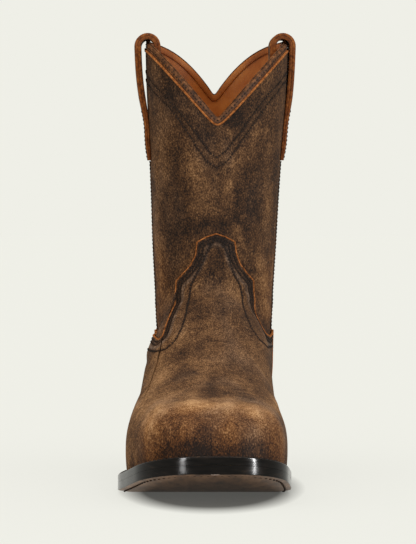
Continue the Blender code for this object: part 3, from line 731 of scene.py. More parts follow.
def make_upper_leather():
    """Outer face, top edge and lining as one closed grid: columns round the boot, rows up the outer face and
    down the inner one, 2.4 mm inside it."""
    around = np.linspace(0, 1, 84)
    back = np.linspace(1, 0, 66)[1:]
    low = along_rings(46, 0.62)
    high = along_rings(150)
    rise = np.concatenate([low, high[high > 0.625], 1 - np.array([0.0022, 0.0015, 0.0008])])
    rise = np.unique(rise)
    v = rise[:, None]
    u = np.concatenate([between_seams(around, v, False), between_seams(back, v, True)], axis=1)
    side = np.repeat([-1.0, 1.0], u.shape[1] - 1)
    u = np.concatenate([u, u[:, -2:0:-1]], axis=1)
    face = surface(u, v, side)
    out = normals(face)
    rows = [near(face, line) for line in V_LINES]
    furrow = furrows(rows, V_FURROW[0])
    halo = furrows([np.minimum(*rows)], V_HALO)
    collar = np.clip(1 - (rim_height(face[..., 0], face[..., 1]) - face[..., 2]) / 0.006, 0, 1)
    outer = face + (relief(face, out) - V_FURROW[1] * furrow)[..., None] * out
    outer[0] = at_height(face[0], welt_height(face[0][:, 1]) + FIT)
    inner = face + (0.6 * relief(face, out) - UPPER_WALL)[..., None] * out
    inner[0] = at_height((face - UPPER_WALL * level_normals(face))[0], welt_height(face[0][:, 1]) + FIT)
    keep = np.unique(np.concatenate([np.arange(0, len(rise), 2), [len(rise) - 1]]))
    inner = inner[keep][::-1]
    # Painted shade: the sewn furrows of the collar rows are painted darker, and so is the shaft's top 6 mm
    # under the rolled collar; the halo's faint darkening goes with the wax beside the rows.
    tone = -0.04 * halo - 0.60 * furrow - 0.2 * collar
    values = leather_values(face, out, tone, 0.10 * halo)
    points = np.concatenate([outer, inner])
    flat = {key: np.concatenate([value, np.zeros(inner.shape[:2])]) for key, value in values.items()}
    faces = grid_faces(len(points), points.shape[1], True, True)
    lined = faces.min(1) // points.shape[1] >= len(rise) - 1
    lined |= faces.max(1) // points.shape[1] >= len(rise)
    made = piece("upper_leather", points, faces, [ROUGHOUT, LINING], lined, flat)
    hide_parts("upper")


make_upper_leather()


def thread_finish():
    """Waxed linen thread: dark, with a satin twist that shows as fine bands 0.5 mm apart."""
    return mottled(
        "waxed_linen_thread_dark", {"Scale": 1900.0, "Detail": 2.0}, ((0.35, "#160f0b"), (0.65, "#33241a")),
        (0.4, 0.0003), Roughness=0.8, Specular_IOR_Level=0.05,
    )


THREAD = thread_finish()


def stitches(name, lines, pitch, length, width, rise=0.0003):
    """Stitches along lines of (points, normals): each a bent spindle, its ring widths the root of one less
    the fourth power of the way along, its middle raised and its ends sunk into the leather."""
    ring, along = np.meshgrid(np.linspace(0, 2 * math.pi, 6, endpoint=False), np.linspace(-1, 1, 7))
    girth = np.sqrt(np.clip(1 - along**4, 0, 1))
    spindle = np.stack([
        along * length / 2,
        np.cos(ring) * girth * width / 2,
        np.sin(ring) * girth * width / 2.6 + rise * (1 - 1.6 * along**2),
    ], -1).reshape(-1, 3)
    chunks = []
    for line, out in lines:
        spots = evenly(line, pitch)
        index = np.array([((line - spot) ** 2).sum(1).argmin() for spot in spots])
        ahead = unit(np.gradient(spots, axis=0))
        up = out[index]
        frame_of = np.stack([ahead, unit(np.cross(up, ahead)), up], 1)
        chunks.append(spots[:, None] + np.einsum("pk,nkc->npc", spindle, frame_of))
    points = np.concatenate(chunks)
    local = grid_faces(7, 6, False, True)
    faces = (local[None] + np.arange(len(points))[:, None, None] * len(spindle)).reshape(-1, 4)
    return piece(name, points, faces, [THREAD], weld=True)


def sewn(lines, lift):
    """Lines of the plain form laid on the leather, with the normals there."""
    return [(laid(line, lift), normals(line)) for line in lines]


stitches("collar_v_stitches", sewn(V_LINES, -0.0002), *V_STITCH)


# VAMP
# Front panel with its stepped tongue: the same roughout, cut 1.4 mm thick, laid over the foot from the welt
# to its raw cut edge and sewn down with a double row; a second sewn groove follows it further in.
OVERLAY = 0.0014
PANEL_GAP = 0.0005
# The stepped edge: mm up, and mm across on the outer and the inner side of the front.
VAMP_STEPS = {
    "up": (166.6, 164.6, 161.2, 152.6, 145.8, 139.9, 134.4, 127.3, 118.5, 109.5, 102.2, 97.2, 94.6, 96.2),
    "outer": (-1.9, 4.9, 11.2, 12.0, 15.1, 19.9, 24.8, 25.1, 25.1, 26.5, 28.9, 32.0, 35.4, 39.0),
    "inner": (1.9, 8.0, 13.8, 14.9, 17.5, 21.7, 26.1, 26.2, 26.2, 27.9, 31.2, 34.4, 37.6, 40.0),
}
VAMP_SIDE = 97.5
# The groove further in, in the same way.
GROOVE = {
    "up": (161.5, 154.2, 147.4, 139.0, 131.7, 121.7, 111.6, 102.6, 94.4, 89.0, 87.2),
    "outer": (0.8, 4.9, 7.6, 11.7, 15.1, 15.7, 17.7, 21.2, 25.6, 31.6, 38.0),
    "inner": (5.0, 8.7, 10.8, 13.2, 16.9, 18.3, 20.1, 24.1, 29.0, 34.0, 40.0),
}
GROOVE_SIDE = 87.5
HALF_FRONT = 0.06
# How far the double row lies in from a cut edge, and pitch, length and width of the stitches.
DOUBLE_ROW = (0.0021, 0.0043)
VAMP_STITCH = (0.0020, 0.0014, 0.0008)
GROOVE_STITCH = (0.0022, 0.0017, 0.0014)
# Width and depth of a panel's furrows, and of the rounding of its rim. The sewn band ends and the line of
# wax lies this far in from the edge, each with its softness.
PANEL_FURROW = (0.0008, 0.0005)
RIM_ROUND = 0.0012
SEWN_BAND = (0.0058, 0.0014)
WAX_LINE = (0.0066, 0.0013)
NEAR_SEAM = 0.985


def front_line(table, end, side, count=240):
    """A line over the front of one side from its table of mm across and up, out to its height at the side
    seam. Returns the shares of the way round and the heights, at even lengths of the line."""
    off = np.array(table["outer" if side < 0 else "inner"]) / 1000
    up = np.array(table["up"]) / 1000
    share = np.maximum.accumulate(around_of(off, up, side) + np.arange(len(up)) * 1e-5)
    share, up = np.append(share, 1.0), np.append(up, end / 1000)
    if share[-2] > NEAR_SEAM:
        share[:-1] *= NEAR_SEAM / share[-2]
    run = length_along(np.stack([share * HALF_FRONT, up], -1))
    goal = np.linspace(0, run[-1], count)
    return np.interp(goal, run, share), np.interp(goal, run, up)


def inset_line(line, out, step, middle):
    """A line carried sideways over the face by a step, towards the middle; points that would come nearer to
    the line than that are dropped, and the rest are brought back to the plain form along its slope."""
    beside = np.cross(out, unit(np.gradient(line, axis=0)))
    if ((middle - line) * beside).sum() < 0:
        beside = -beside
    moved = settled(line + step * beside)
    moved = moved[near(moved, line, 3 * step) > 0.985 * step]
    return evenly(moved, LINE_STEP)


def settled(points):
    """Points moved on to the plain form: four steps of its value over its slope, along the normal."""
    tiny = 1e-4
    for _ in range(4):
        out = normals(points)
        here = form(*points.T)
        there = form(*(points + tiny * out).T)
        points = points + (here * tiny / np.maximum(here - there, 1e-9))[:, None] * out
    return points


def overlay(name, node_name, face, lines, edge_line, tone):
    """A panel laid over the upper: its outer sheet, its inner sheet and the wall between, with sewn
    furrows, a waxed band along them and a rounded rim."""
    out = normals(face)
    gaps = [near(face, line) for line in lines]
    furrow = furrows(gaps, PANEL_FURROW[0])
    inward = near(face, edge_line)
    sewn = ease((SEWN_BAND[0] - inward) / SEWN_BAND[1])
    waxed = furrows([inward - WAX_LINE[0]], WAX_LINE[1])
    rim = np.clip(1 - inward / RIM_ROUND, 0, 1)
    lift = relief(face, out) + PANEL_GAP
    outer = face + (lift + OVERLAY - PANEL_FURROW[1] * (furrow + rim**2))[..., None] * out
    inner = face + lift[..., None] * out
    for sheet, off in ((outer, PANEL_GAP + OVERLAY), (inner, PANEL_GAP)):
        foot = face[0] + off * level_normals(face[0])
        sheet[0] = at_height(foot, welt_height(foot[:, 1]) + FIT)
    # Painted shade: the sewn furrows are painted darker.
    tone = tone - 0.32 * sewn - 1.3 * furrow + 0.45 * waxed
    values = leather_values(face, out, tone, 0.7 * waxed + 0.2 * sewn)
    both = {key: np.concatenate([value, value]) for key, value in values.items()}
    sheets = np.concatenate([outer, inner])
    made = piece(name, sheets, shell_faces(*face.shape[:2]), [ROUGHOUT], None, both)
    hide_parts(node_name)


def cut_edge_finish():
    """Raw cut edge of the hide: undyed orange-brown fibres, matt and fuzzy, darker where waxed."""
    return mottled(
        "raw_cut_cowhide", {"Scale": 520.0, "Detail": 3.0, "Roughness": 0.7},
        ((0.28, "#4f2b13"), (0.45, "#8c5126"), (0.6, "#b26e3a"), (0.75, "#cc8b54")), (0.7, 0.0006),
        Roughness=0.95, Specular_IOR_Level=0.03,
    )


CUT_EDGE = cut_edge_finish()


def closed_ends(rings):
    """Rings with one more at each end, drawn in to the end's middle."""
    ends = [np.repeat(rings[k].mean(0)[None, None], rings.shape[1], 1) for k in (0, -1)]
    return np.concatenate([ends[0], rings, ends[1]])


def swept(name, path, up, profile, material, closed=False):
    """A closed profile carried along a path: each of its points stands off by its two shares along the line
    beside the path and along up. Open ends close on their middles."""
    ahead = np.roll(path, -1, 0) - np.roll(path, 1, 0) if closed else np.gradient(path, axis=0)
    beside = unit(np.cross(up, unit(ahead)))
    profile = np.broadcast_to(profile, (len(path), *np.shape(profile)[-2:]))
    rings = path[:, None] + profile[..., :1] * beside[:, None] + profile[..., 1:] * up[:, None]
    if not closed:
        rings = closed_ends(rings)
    return piece(name, rings, grid_faces(*rings.shape[:2], closed, True), [material], weld=True)


def rounded(wide, high, base=0.0, points=12):
    """A profile of rounded-off oblong section: width and height times the square root of cosine and sine."""
    angle = np.linspace(0, 2 * math.pi, points, endpoint=False)
    c, s = np.cos(angle), np.sin(angle)
    x, y = np.sign(c) * np.abs(c) ** 0.6, np.sign(s) * np.abs(s) ** 0.6
    return np.stack([wide / 2 * x, base + high / 2 * (1 + y)], -1)


def frayed(path, up, amount=0.00006):
    """The path of a cut edge with a slight waver: sums of sines of its length, 4 to 11 mm long."""
    run = length_along(path) * 1000
    wave = np.sin(run * 0.6) + 0.7 * np.sin(run * 1.13 + 1) + 0.5 * np.sin(run * 1.9 + 2)
    return path + amount * wave[:, None] * unit(np.cross(up, np.gradient(path, axis=0)))


def make_vamp_leather():
    """The panel's columns run from the welt to the stepped edge, outer side to inner side."""
    sheets, edges, grooves = [], [], []
    rise = along_rings(150, 0.80, (0.0, 0.15, 0.3, 0.45))
    rise = rise / rise[-1]
    for side in (-1.0, 1.0):
        share, up = front_line(VAMP_STEPS, VAMP_SIDE, side)
        around = np.interp(np.linspace(0, 1, 118), np.linspace(0, 1, len(share)), share)
        height = np.interp(around, share, up)
        top = climb_to(around, height, side, False)
        v = rise[:, None] * top
        sheets.append(surface(between_seams(around, v, False), v, side))
        edges.append(line_on(share, up, side))
        share, up = front_line(GROOVE, GROOVE_SIDE, side)
        grooves.append(line_on(share, up, side))
    face = np.concatenate([sheets[0][:, ::-1], sheets[1][:, 1:]], axis=1)
    edge = evenly(np.concatenate([edges[0][::-1], edges[1][1:]]), LINE_STEP)
    middle = np.array([0.0, -0.12, 0.06])
    double = [inset_line(edge, normals(edge), step, middle) for step in DOUBLE_ROW]
    groove = [evenly(line, LINE_STEP) for line in grooves]
    overlay("vamp_leather", "vamp", face, [*double, *groove], edge, 0.12)
    top = PANEL_GAP + OVERLAY
    stitches("vamp_double_row", sewn(double, top - 0.0003), *VAMP_STITCH)
    stitches("vamp_groove_row", sewn(groove, top - 0.0004), *GROOVE_STITCH)
    out = normals(edge)
    path = frayed(laid(edge, PANEL_GAP), out)
    swept("vamp_cut_edge", path, out, rounded(0.0009, OVERLAY + 0.0003), CUT_EDGE)


make_vamp_leather()


# COUNTER
# Heel panel: the same roughout, laid over the back of the upper from the welt to its cut edge, highest over
# the heel's middle, and sewn down with a double row.
COUNTER_PEAK = 0.1300
COUNTER_SIDE = 0.0985
COUNTER_EDGE = {
    "around": (0.00, 0.15, 0.35, 0.60, 0.80, 1.00),
    "height": (1.00, 0.92, 0.60, 0.16, -0.03, 0.00),
}
HALF_BACK = 0.09
COUNTER_STITCH = (0.0023, 0.0018, 0.0009)


def make_counter_leather():
    """The panel's columns run from the welt to the edge, outer side round the back to the inner side."""
    sheets, edges = [], []
    rise = along_rings(84, 0.66, (0.6, 0.8, 1.0))
    rise = rise / rise[-1]
    share = np.linspace(0, 1, 90)
    height = COUNTER_SIDE + (COUNTER_PEAK - COUNTER_SIDE) * curve(share, *COUNTER_EDGE.values())
    for side in (-1.0, 1.0):
        around = share.copy()
        around[-1] = 1 - GAP / HALF_BACK
        top = climb_to(around, height, side, True)
        v = rise[:, None] * top
        sheets.append(surface(between_seams(around, v, True), v, side))
        edges.append(line_on(around, height, side, True))
    face = np.concatenate([sheets[0][:, ::-1], sheets[1][:, 1:]], axis=1)
    edge = evenly(np.concatenate([edges[0][::-1], edges[1][1:]]), LINE_STEP)
    out = normals(edge)
    double = [inset_line(edge, out, step, np.array([0.0, 0.02, 0.06])) for step in DOUBLE_ROW]
    overlay("counter_leather", "counter", face, double, edge, -0.1)
    top = PANEL_GAP + OVERLAY
    stitches("counter_double_row", sewn(double, top - 0.0003), *COUNTER_STITCH)
    path = frayed(laid(edge, PANEL_GAP), out)
    swept("counter_cut_edge", path, out, rounded(0.0010, OVERLAY + 0.0003), CUT_EDGE)
    for name, side in (("outer", -1.0), ("inner", 1.0)):
        v = np.linspace(0.012, climb_to(np.array([1.0]), [COUNTER_SIDE - 0.001], side, True)[0], 120)
        seam = evenly(surface(between_seams(1 - 0.004, v, True), v, side), 0.0008)
        up = normals(seam)
        path = frayed(laid(seam, PANEL_GAP), up)
        swept("heel_seam_edge_" + name, path, up, rounded(0.0013, OVERLAY + 0.0004), CUT_EDGE)
        front = inset_line(seam, up, 0.0030, np.array([0.0, 0.04, 0.06]))
        stitches("heel_seam_row_" + name, sewn([front], top - 0.0002), *COUNTER_STITCH)


make_counter_leather()


# SIDE SEAMS
# Front and back of the shaft are sewn together at each side over a folded strip of the same hide. The strip
# stands 1.4 mm proud, and the thread pulls it into small scallops.
SEAM_WIDTH = 0.0034
SEAM_THICKNESS = 0.0014
SEAM_ENDS = (0.0993, 0.2164)
SCALLOP = 0.0026
PIPING_STEP = 0.0004
FLANK_STITCH = (0.0026, 0.0020, 0.0008, 0.0001)


def make_side_piping(name, side):
    """A rounded strip carried down the seam, its height scalloped by a cosine of the way along."""
    low, high = (climb_to(np.array([1.0]), [end], side, False)[0] for end in SEAM_ENDS)
    v = np.linspace(low, high, 260)
    line = evenly(surface(seam_at(v), v, side), PIPING_STEP)
    run = np.arange(len(line)) * PIPING_STEP
    tall = 0.88 + 0.12 * np.cos(2 * math.pi * run / SCALLOP)
    shape = rounded(SEAM_WIDTH, SEAM_THICKNESS) * np.stack([0.5 + 0.5 * tall, tall], -1)[:, None]
    made = swept(name, laid(line, -0.0004), normals(line), shape, PIPING)
    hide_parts("side_seam_" + ("lateral" if side < 0 else "medial"))
    flanks = [settled(line + (0, shift * (SEAM_WIDTH / 2 + 0.0012), 0)) for shift in (-1, 1)]
    stitches(name + "_rows", sewn(flanks, -0.0003), *FLANK_STITCH)


def piping_finish():
    """Waxed strip of the same hide, smooth side out and almost black where it has rubbed."""
    return mottled(
        "waxed_piping_leather", {"Scale": 420.0, "Detail": 3.0},
        ((0.35, "#1d130d"), (0.55, "#3f2a1b"), (0.72, "#77502f")), (0.6, 0.0005),
        Roughness=0.9, Specular_IOR_Level=0.04,
    )


PIPING = piping_finish()
make_side_piping("side_piping_outer", -1.0)
make_side_piping("side_piping_inner", 1.0)


# COLLAR
# The shaft's top edge: the hide is cut raw, and a strip of smooth dark leather is rolled over the edge of
# the lining above it and stitched through. It stands 3.6 mm up and half a millimetre back.
BINDING_RISE = 0.0036
BINDING_SETBACK = 0.0005
BINDING_THICKNESS = 0.0029
BINDING_OVERHANG = 0.0004
BINDING_PULL = (0.00012, 0.0032)
BINDING_SQUARE = 0.55
COLLAR_STEP = 0.0010
COLLAR_STITCH = (0.0026, 0.0016, 0.0007, 0.0001)


def rolled_finish():
    """Rolled collar strip: smooth red-brown leather, waxed and rubbed."""
    return mottled(
        "rolled_collar_leather", {"Scale": 330.0, "Detail": 4.0, "Roughness": 0.65},
        ((0.3, "#29170b"), (0.5, "#583418"), (0.7, "#8f5b33")), (0.5, 0.0005),
        Roughness=0.75, Specular_IOR_Level=0.06,
    )


ROLLED = rolled_finish()


def upright(points):
    """Straight up, at each point."""
    return np.zeros_like(points) + (0, 0, 1)


def make_collar():
    """The collar line all round, with its normals kept level; the strip's profile is carried round it as in
    the solid, higher by the slope of the line, and the raw edge of the hide lies along it outside."""
    u = np.concatenate([np.linspace(0, 1, 420), np.linspace(1, 0, 420)[1:-1]])
    side = np.repeat([-1.0, 1.0], [420, 418])
    edge = surface(u, 1.0, side)
    edge = evenly(np.concatenate([edge, edge[:1]]), COLLAR_STEP)[:-1]
    out = level_normals(edge)
    ahead = np.roll(edge, -1, 0) - np.roll(edge, 1, 0)
    steep = np.linalg.norm(ahead, axis=1) / np.linalg.norm(ahead[:, :2], axis=1)
    back, front = BINDING_SETBACK, BINDING_SETBACK + BINDING_THICKNESS
    angle = np.linspace(0, 2 * math.pi, 16, endpoint=False)
    c, s = np.cos(angle), np.sin(angle)
    inward = (back + front) / 2 - (front - back) / 2 * np.sign(c) * np.abs(c) ** BINDING_SQUARE
    below = FIT + BINDING_OVERHANG
    upward = (0.5 + 0.5 * np.sign(s) * np.abs(s) ** BINDING_SQUARE) * (BINDING_RISE + below) - below
    run = np.arange(len(edge))[:, None] * COLLAR_STEP
    pull = BINDING_PULL[0] * np.cos(2 * math.pi * run / BINDING_PULL[1])
    rings = edge[:, None] - (inward + pull * c)[..., None] * out[:, None]
    rings[..., 2] += FIT + upward * steep[:, None]
    lined = np.tile((np.arange(16) > 4) & (np.arange(16) < 11), len(rings))
    faces = grid_faces(*rings.shape[:2], True, True)
    made = piece("rolled_collar", rings, faces, [ROLLED, LINING], lined)
    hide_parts("collar_binding")

    crest = edge - (front - 0.0006) * out
    crest[:, 2] += FIT + (BINDING_RISE - 0.0001) * steep
    bead = rounded(0.0009, 0.0007)
    swept("lining_edge", crest, upright(crest), bead, ROLLED, closed=True)

    middle = edge - (back - 0.0001) * out
    middle[:, 2] += FIT + 0.46 * BINDING_RISE * steep
    joined = [np.concatenate([rows, rows[:1]]) for rows in (middle, out)]
    stitches("collar_stitches", [joined], *COLLAR_STITCH)

    lip = edge + 0.0001 * out
    lip[:, 2] -= 0.0005 * steep
    across = unit(np.cross(out, ahead))
    across *= np.sign(across[:, 2:])
    angle = np.linspace(0, 2 * math.pi, 10, endpoint=False)
    shape = np.stack([0.00065 * np.cos(angle), 0.00055 * np.sin(angle)], -1)
    rings = lip[:, None] + shape[None, :, :1] * across[:, None] + shape[None, :, 1:] * out[:, None]
    piece("collar_cut_edge", rings, grid_faces(*rings.shape[:2], True, True), [CUT_EDGE])


make_collar()


# PULL STRAPS
# A loop at each side: a band of the hide folded double, 26 mm wide and 4.2 mm thick, with raw edges. One
# end is sewn to the outside of the shaft and the other to the lining.
STRAP_WIDTH = 0.0260
STRAP_THICKNESS = 0.0042
STRAP_OUTER_END = 0.2170
STRAP_INNER_END = 0.2480
STRAP_LOOP = 0.0068
STRAP_CLEARANCE = 0.0015
STRAP_INSET = 0.0022
STRAP_LEG = {
    "climb": (0.0, 0.16, 0.33, 0.45, 0.58, 0.72, 0.86, 1.0),
    "away": (0.0, 0.00, 0.02, 0.18, 0.50, 0.80, 0.96, 1.0),
}
# Height of the sewn end; the rows along it, inward from its edges; the rows across it, above its foot.
STRAP_SEWN = 0.034
STRAP_ROWS = (0.0028, 0.0060)
STRAP_CROSSINGS = (0.003, 0.0065, 0.034)
STRAP_STITCH = (0.0026, 0.0019, 0.0009, 0.0001)


def strap_finish():
    """Flat of the strap: waxed roughout, rubbed by the hand to a grey-brown."""
    return mottled(
        "handled_strap_hide", {"Scale": 160.0, "Detail": 5.0, "Roughness": 0.7},
        ((0.3, "#3b2719"), (0.5, "#6a4830"), (0.7, "#9b7350")), (0.5, 0.0006),
        grain=("ShaderNodeTexNoise", {"Scale": 1100.0, "Detail": 3.0}, "Fac"),
        Roughness=0.9, Specular_IOR_Level=0.05,
    )


def strap_edge_finish():
    """Cut edge of the folded strap: two layers of orange-brown fibre, dyed thinly and rubbed."""
    return mottled(
        "cut_strap_edge", {"Scale": 300.0, "Detail": 4.0, "Roughness": 0.7},
        ((0.3, "#43200a"), (0.5, "#7a4119"), (0.72, "#a9672f")), (0.5, 0.0005),
        Roughness=0.9, Specular_IOR_Level=0.05,
    )


STRAP = strap_finish()
STRAP_EDGE = strap_edge_finish()


def strap_half(height):
    """Half the strap's thickness: pressed down to about half where it is sewn to the shaft."""
    leg = ease((STRAP_OUTER_END + 0.045 - height) / 0.022)
    end = ease((STRAP_OUTER_END + 0.012 - height) / 0.012)
    return STRAP_THICKNESS / 2 * (1 - 0.28 * leg - 0.20 * end)


def strap_frame(inset):
    """The loop's middle line, as distance out from the shaft's face and height, at even lengths, and the
    unit way along it."""
    crown = -UPPER_WALL / 2 - inset
    spring = SHAFT_HEIGHT + FIT + BINDING_RISE + STRAP_CLEARANCE + STRAP_THICKNESS / 2 - STRAP_LOOP
    lying_in = -UPPER_WALL - FIT - GAP - STRAP_THICKNESS / 2
    climb = np.linspace(0, 1, 60)
    away = curve(climb, STRAP_LEG["climb"], STRAP_LEG["away"])
    turn = np.radians(np.linspace(0, 180, 40)[1:-1])
    outer_climb = STRAP_OUTER_END + (spring - STRAP_OUTER_END) * climb
    lying_out = 0.0002 + strap_half(outer_climb)
    outer_leg = lying_out + (crown + STRAP_LOOP - lying_out) * away
    inner_leg = lying_in + (crown - STRAP_LOOP - lying_in) * away
    inner_climb = STRAP_INNER_END + (spring - STRAP_INNER_END) * climb
    out = np.concatenate([outer_leg, crown + STRAP_LOOP * np.cos(turn), inner_leg[::-1]])
    high = np.concatenate([outer_climb, spring + STRAP_LOOP * np.sin(turn), inner_climb[::-1]])
    path = evenly(np.stack([out, high, 0 * out], -1), 0.0012)[:, :2]
    return path, unit(np.gradient(path, axis=0))


def shaft_side(y, z, side):
    """Points of the plain form straight out to one side."""
    y, z = np.broadcast_arrays(y, z)
    none = np.zeros_like(y)
    reach = reach_from(none, y, side + none, none, lambda px, py: z)
    return np.stack([side * reach + lean(y, z), y, z], -1)


def strap_points(side, path, along, wide, thick):
    """Points off the middle line: wide is along the boot, thick is across the strap, outwards."""
    middle = surface(0.5, 1.0, side)[1]
    far = path[:, :1] + thick * along[:, 1:]
    up = path[:, 1:] - thick * along[:, :1]
    face = shaft_side(middle + wide + 0 * up, up, side)
    return face + far[..., None] * level_normals(face)


def make_pull_strap(name, node_name, side, inset):
    """A section with rounded corners and a fine groove between the two layers in its cut edges, carried
    along the loop and closed at its ends."""
    path, along = strap_frame(inset)
    half = STRAP_WIDTH / 2
    outside = np.arange(len(path)) < len(path) / 2
    thin = np.where(outside, strap_half(path[:, 1]), STRAP_THICKNESS / 2)[:, None]
    flat = np.linspace(-1, 1, 9)
    edge = np.array([-0.86, -0.45, -0.10, 0.0, 0.10, 0.45, 0.86])
    sunk = np.array([0.0006, 0.0, 0.0001, 0.0006, 0.0001, 0.0, 0.0006])
    wide = np.concatenate([flat * (half - 0.0007), half - sunk, -flat * (half - 0.0007), -half + sunk])
    thick = np.concatenate([0 * flat + thin, -edge * thin, 0 * flat - thin, edge * thin], axis=1)
    rings = closed_ends(strap_points(side, path, along, wide[None], thick))
    faces = grid_faces(*rings.shape[:2], False, True)
    column = np.arange(rings.shape[1])
    on_edge = ((column >= 8) & (column < 16)) | (column >= 24)
    shown = np.tile(on_edge, len(rings) - 1)
    made = piece(name, rings, faces, [STRAP, STRAP_EDGE], shown, weld=True)
    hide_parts(node_name)
    rows = []
    up = path[:, 1] - STRAP_OUTER_END
    leg = outside & (up > 0.002) & (up < STRAP_SEWN)
    for inward in STRAP_ROWS:
        for at in (inward - half, half - inward):
            line = strap_points(side, path[leg], along[leg], np.array([[at]]), thin[leg])[:, 0]
            rows.append(evenly(line, 0.0005))
    across = np.linspace(-half + 0.003, half - 0.003, 60)[None]
    for rise in STRAP_CROSSINGS:
        k = [np.abs(up - rise).argmin()]
        rows.append(strap_points(side, path[k], along[k], across, thin[k])[0])
    stitches(name + "_stitches", [(line, level_normals(line)) for line in rows], *STRAP_STITCH)


make_pull_strap("pull_strap_outer", "pull_strap_lateral", -1.0, 0.0)
make_pull_strap("pull_strap_inner", "pull_strap_medial", 1.0, STRAP_INSET)


# INSOLE
# Board of pressed leather that the foot stands on, cut to the last and tucked inside the upper's lower
# edge. It is the solid itself, with its finish.
def insole_finish():
    """Pressed leather board: pale tan, matt and slightly clouded, with fine fibres."""
    return mottled(
        "pressed_leather_board", {"Scale": 26.0, "Detail": 3.0},
        ((0.35, "#8a6238"), (0.5, "#a87b4a"), (0.65, "#ba8f5d")), (0.4, 0.0004),
        grain=("ShaderNodeTexNoise", {"Scale": 900.0, "Detail": 3.0}, "Fac"), Roughness=0.8,
    )


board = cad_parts["insole"].data.materials
board.clear()
board.append(insole_finish())


# WELT
# Strip of oak-bark leather all round the foot, 4.5 mm thick: the upper is sewn to it inside, and it is
# lockstitched down to the outsole along its top. Its edge is trimmed with the outsole's, inked black and
# polished.
WELT_INSIDE = 0.0070
LEDGE = {
    "around": (0.00, 0.15, 0.30, 0.42, 0.55, 0.70, 1.00),
    "lateral": (0.0045, 0.0050, 0.0060, 0.0058, 0.0035, 0.0020, 0.0020),
    "medial": (0.0045, 0.0044, 0.0036, 0.0028, 0.0018, 0.0018, 0.0020),
    "lift": (0.0, 0.6, 1.0, 1.0, 0.6, 0.0, 0.0),
}
SOLE_AROUND = np.interp(np.linspace(0, 1, 170), (0, 0.28, 0.8, 1), (0.0, 0.42, 0.78, 1.0))
SOLE_CORNER = 0.0005
WELT_SEAM = 0.0019
WELT_STITCH = (0.0042, 0.0032, 0.0011, 0.0004)


def inked_finish():
    """Sole edge inked black, waxed hot and polished: a glossy film over leather, brown where it has worn."""
    made, tree, shader = finish(
        "inked_polished_edge", Specular_IOR_Level=0.10, Anisotropic=0.85, Anisotropic_Rotation=0.25,
    )
    place = add(tree, "ShaderNodeTexCoord").outputs["Object"]
    layers = add(tree, "ShaderNodeMapping", {"Vector": place, "Scale": (1.0, 1.0, 5.0)}).outputs["Vector"]
    wear = add(tree, "ShaderNodeTexNoise", {"Vector": layers, "Scale": 90.0, "Detail": 4.0})
    ink = ((0.35, "#0b0908"), (0.6, "#15110f"), (0.8, "#2a201a"))
    polish = ((0.3, "#6e6e6e"), (0.7, "#8c8c8c"))
    for stops, socket in ((ink, "Base Color"), (polish, "Roughness")):
        shade = add(tree, "ShaderNodeValToRGB", {"Fac": wear.outputs["Fac"]}, stops)
        tree.links.new(shade.outputs["Color"], shader.inputs[socket])
    wave = add(tree, "ShaderNodeBump", {"Height": wear.outputs["Fac"], "Strength": 0.12, "Distance": 0.0004})
    tree.links.new(wave.outputs["Normal"], shader.inputs["Normal"])
    rubbed = add(tree, "ShaderNodeTangent", direction_type="RADIAL", axis="Z")
    tree.links.new(rubbed.outputs["Tangent"], shader.inputs["Tangent"])
    return made


def welt_top_finish():
    """Top of the welt: dark brown waxed leather, rubbed paler, marked by the stitching wheel."""
    return mottled(
        "waxed_welt_top", {"Scale": 240.0, "Detail": 4.0},
        ((0.3, "#1c130d"), (0.55, "#38281c"), (0.75, "#6a4e36")), (0.5, 0.0004),
        Roughness=0.85, Specular_IOR_Level=0.10,
    )


INKED = inked_finish()
WELT_TOP = welt_top_finish()


def foot_line(u, side, out):
    """The upper's line on the welt, carried out or in along the level."""
    points = surface(u, 0.0, side)
    return points + np.reshape(out, (-1, 1)) * level_normals(points)


def sole_edge(u, side, inset=0.0):
    """Edge of the sole: the ledge beyond the vamp and the counter."""
    ledge = curve(u, LEDGE["around"], LEDGE["lateral" if side < 0 else "medial"])
    return foot_line(u, side, PANEL_GAP + OVERLAY + ledge - inset)


def loop_round(row):
    """One closed line round the boot from a row for each side, toe to heel and back."""
    outer, inner = row(-1.0), row(1.0)
    return np.concatenate([outer, inner[-2:0:-1]])


def make_welt_strip():
    """The strip's section: its top runs out from under the upper, turns over a rounded corner and comes down
    the trimmed edge; heights are above the outsole's top."""
    edge = loop_round(lambda side: sole_edge(SOLE_AROUND, side))
    foot = loop_round(lambda side: foot_line(SOLE_AROUND, side, -WELT_INSIDE))
    inward = foot - edge
    inward[:, 2] = 0
    width = np.linalg.norm(inward, axis=1, keepdims=True)
    inward /= width
    turn = np.linspace(0, math.pi / 2, 6)
    depth = np.concatenate([[0, 0], SOLE_CORNER * (1 - np.cos(turn)), [0.0022, 0.0034, 0.0048, WELT_INSIDE]])
    rise = np.concatenate([[-0.0004, 0.0020], WELT - SOLE_CORNER * (1 - np.sin(turn)), [WELT] * 4])
    base = tread_height(edge[:, 1]) + OUTSOLE + SEAT_GAP
    rings = edge[:, None] + np.minimum(depth, width)[..., None] * inward[:, None]
    rings[..., 2] = base[:, None] + rise
    under = at_height(np.stack([foot, foot], 1), base[:, None] + np.array([WELT, 0.0]))
    rings = np.concatenate([rings, under], axis=1)
    faces = grid_faces(*rings.shape[:2], True, True)
    column = np.arange(rings.shape[1])
    shown = np.tile((column >= 6) & (column < 12), len(rings))
    made = piece("welt_strip", rings, faces, [INKED, WELT_TOP], shown)
    made.data.set_sharp_from_angle(angle=math.radians(35))
    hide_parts("welt")
    seam = at_height(edge + WELT_SEAM * inward, base + WELT - 0.0001)
    front = evenly(np.concatenate([seam[-150:], seam[:151]]), LINE_STEP)
    stitches("welt_lockstitch", [(front, upright(front))], *WELT_STITCH)


make_welt_strip()


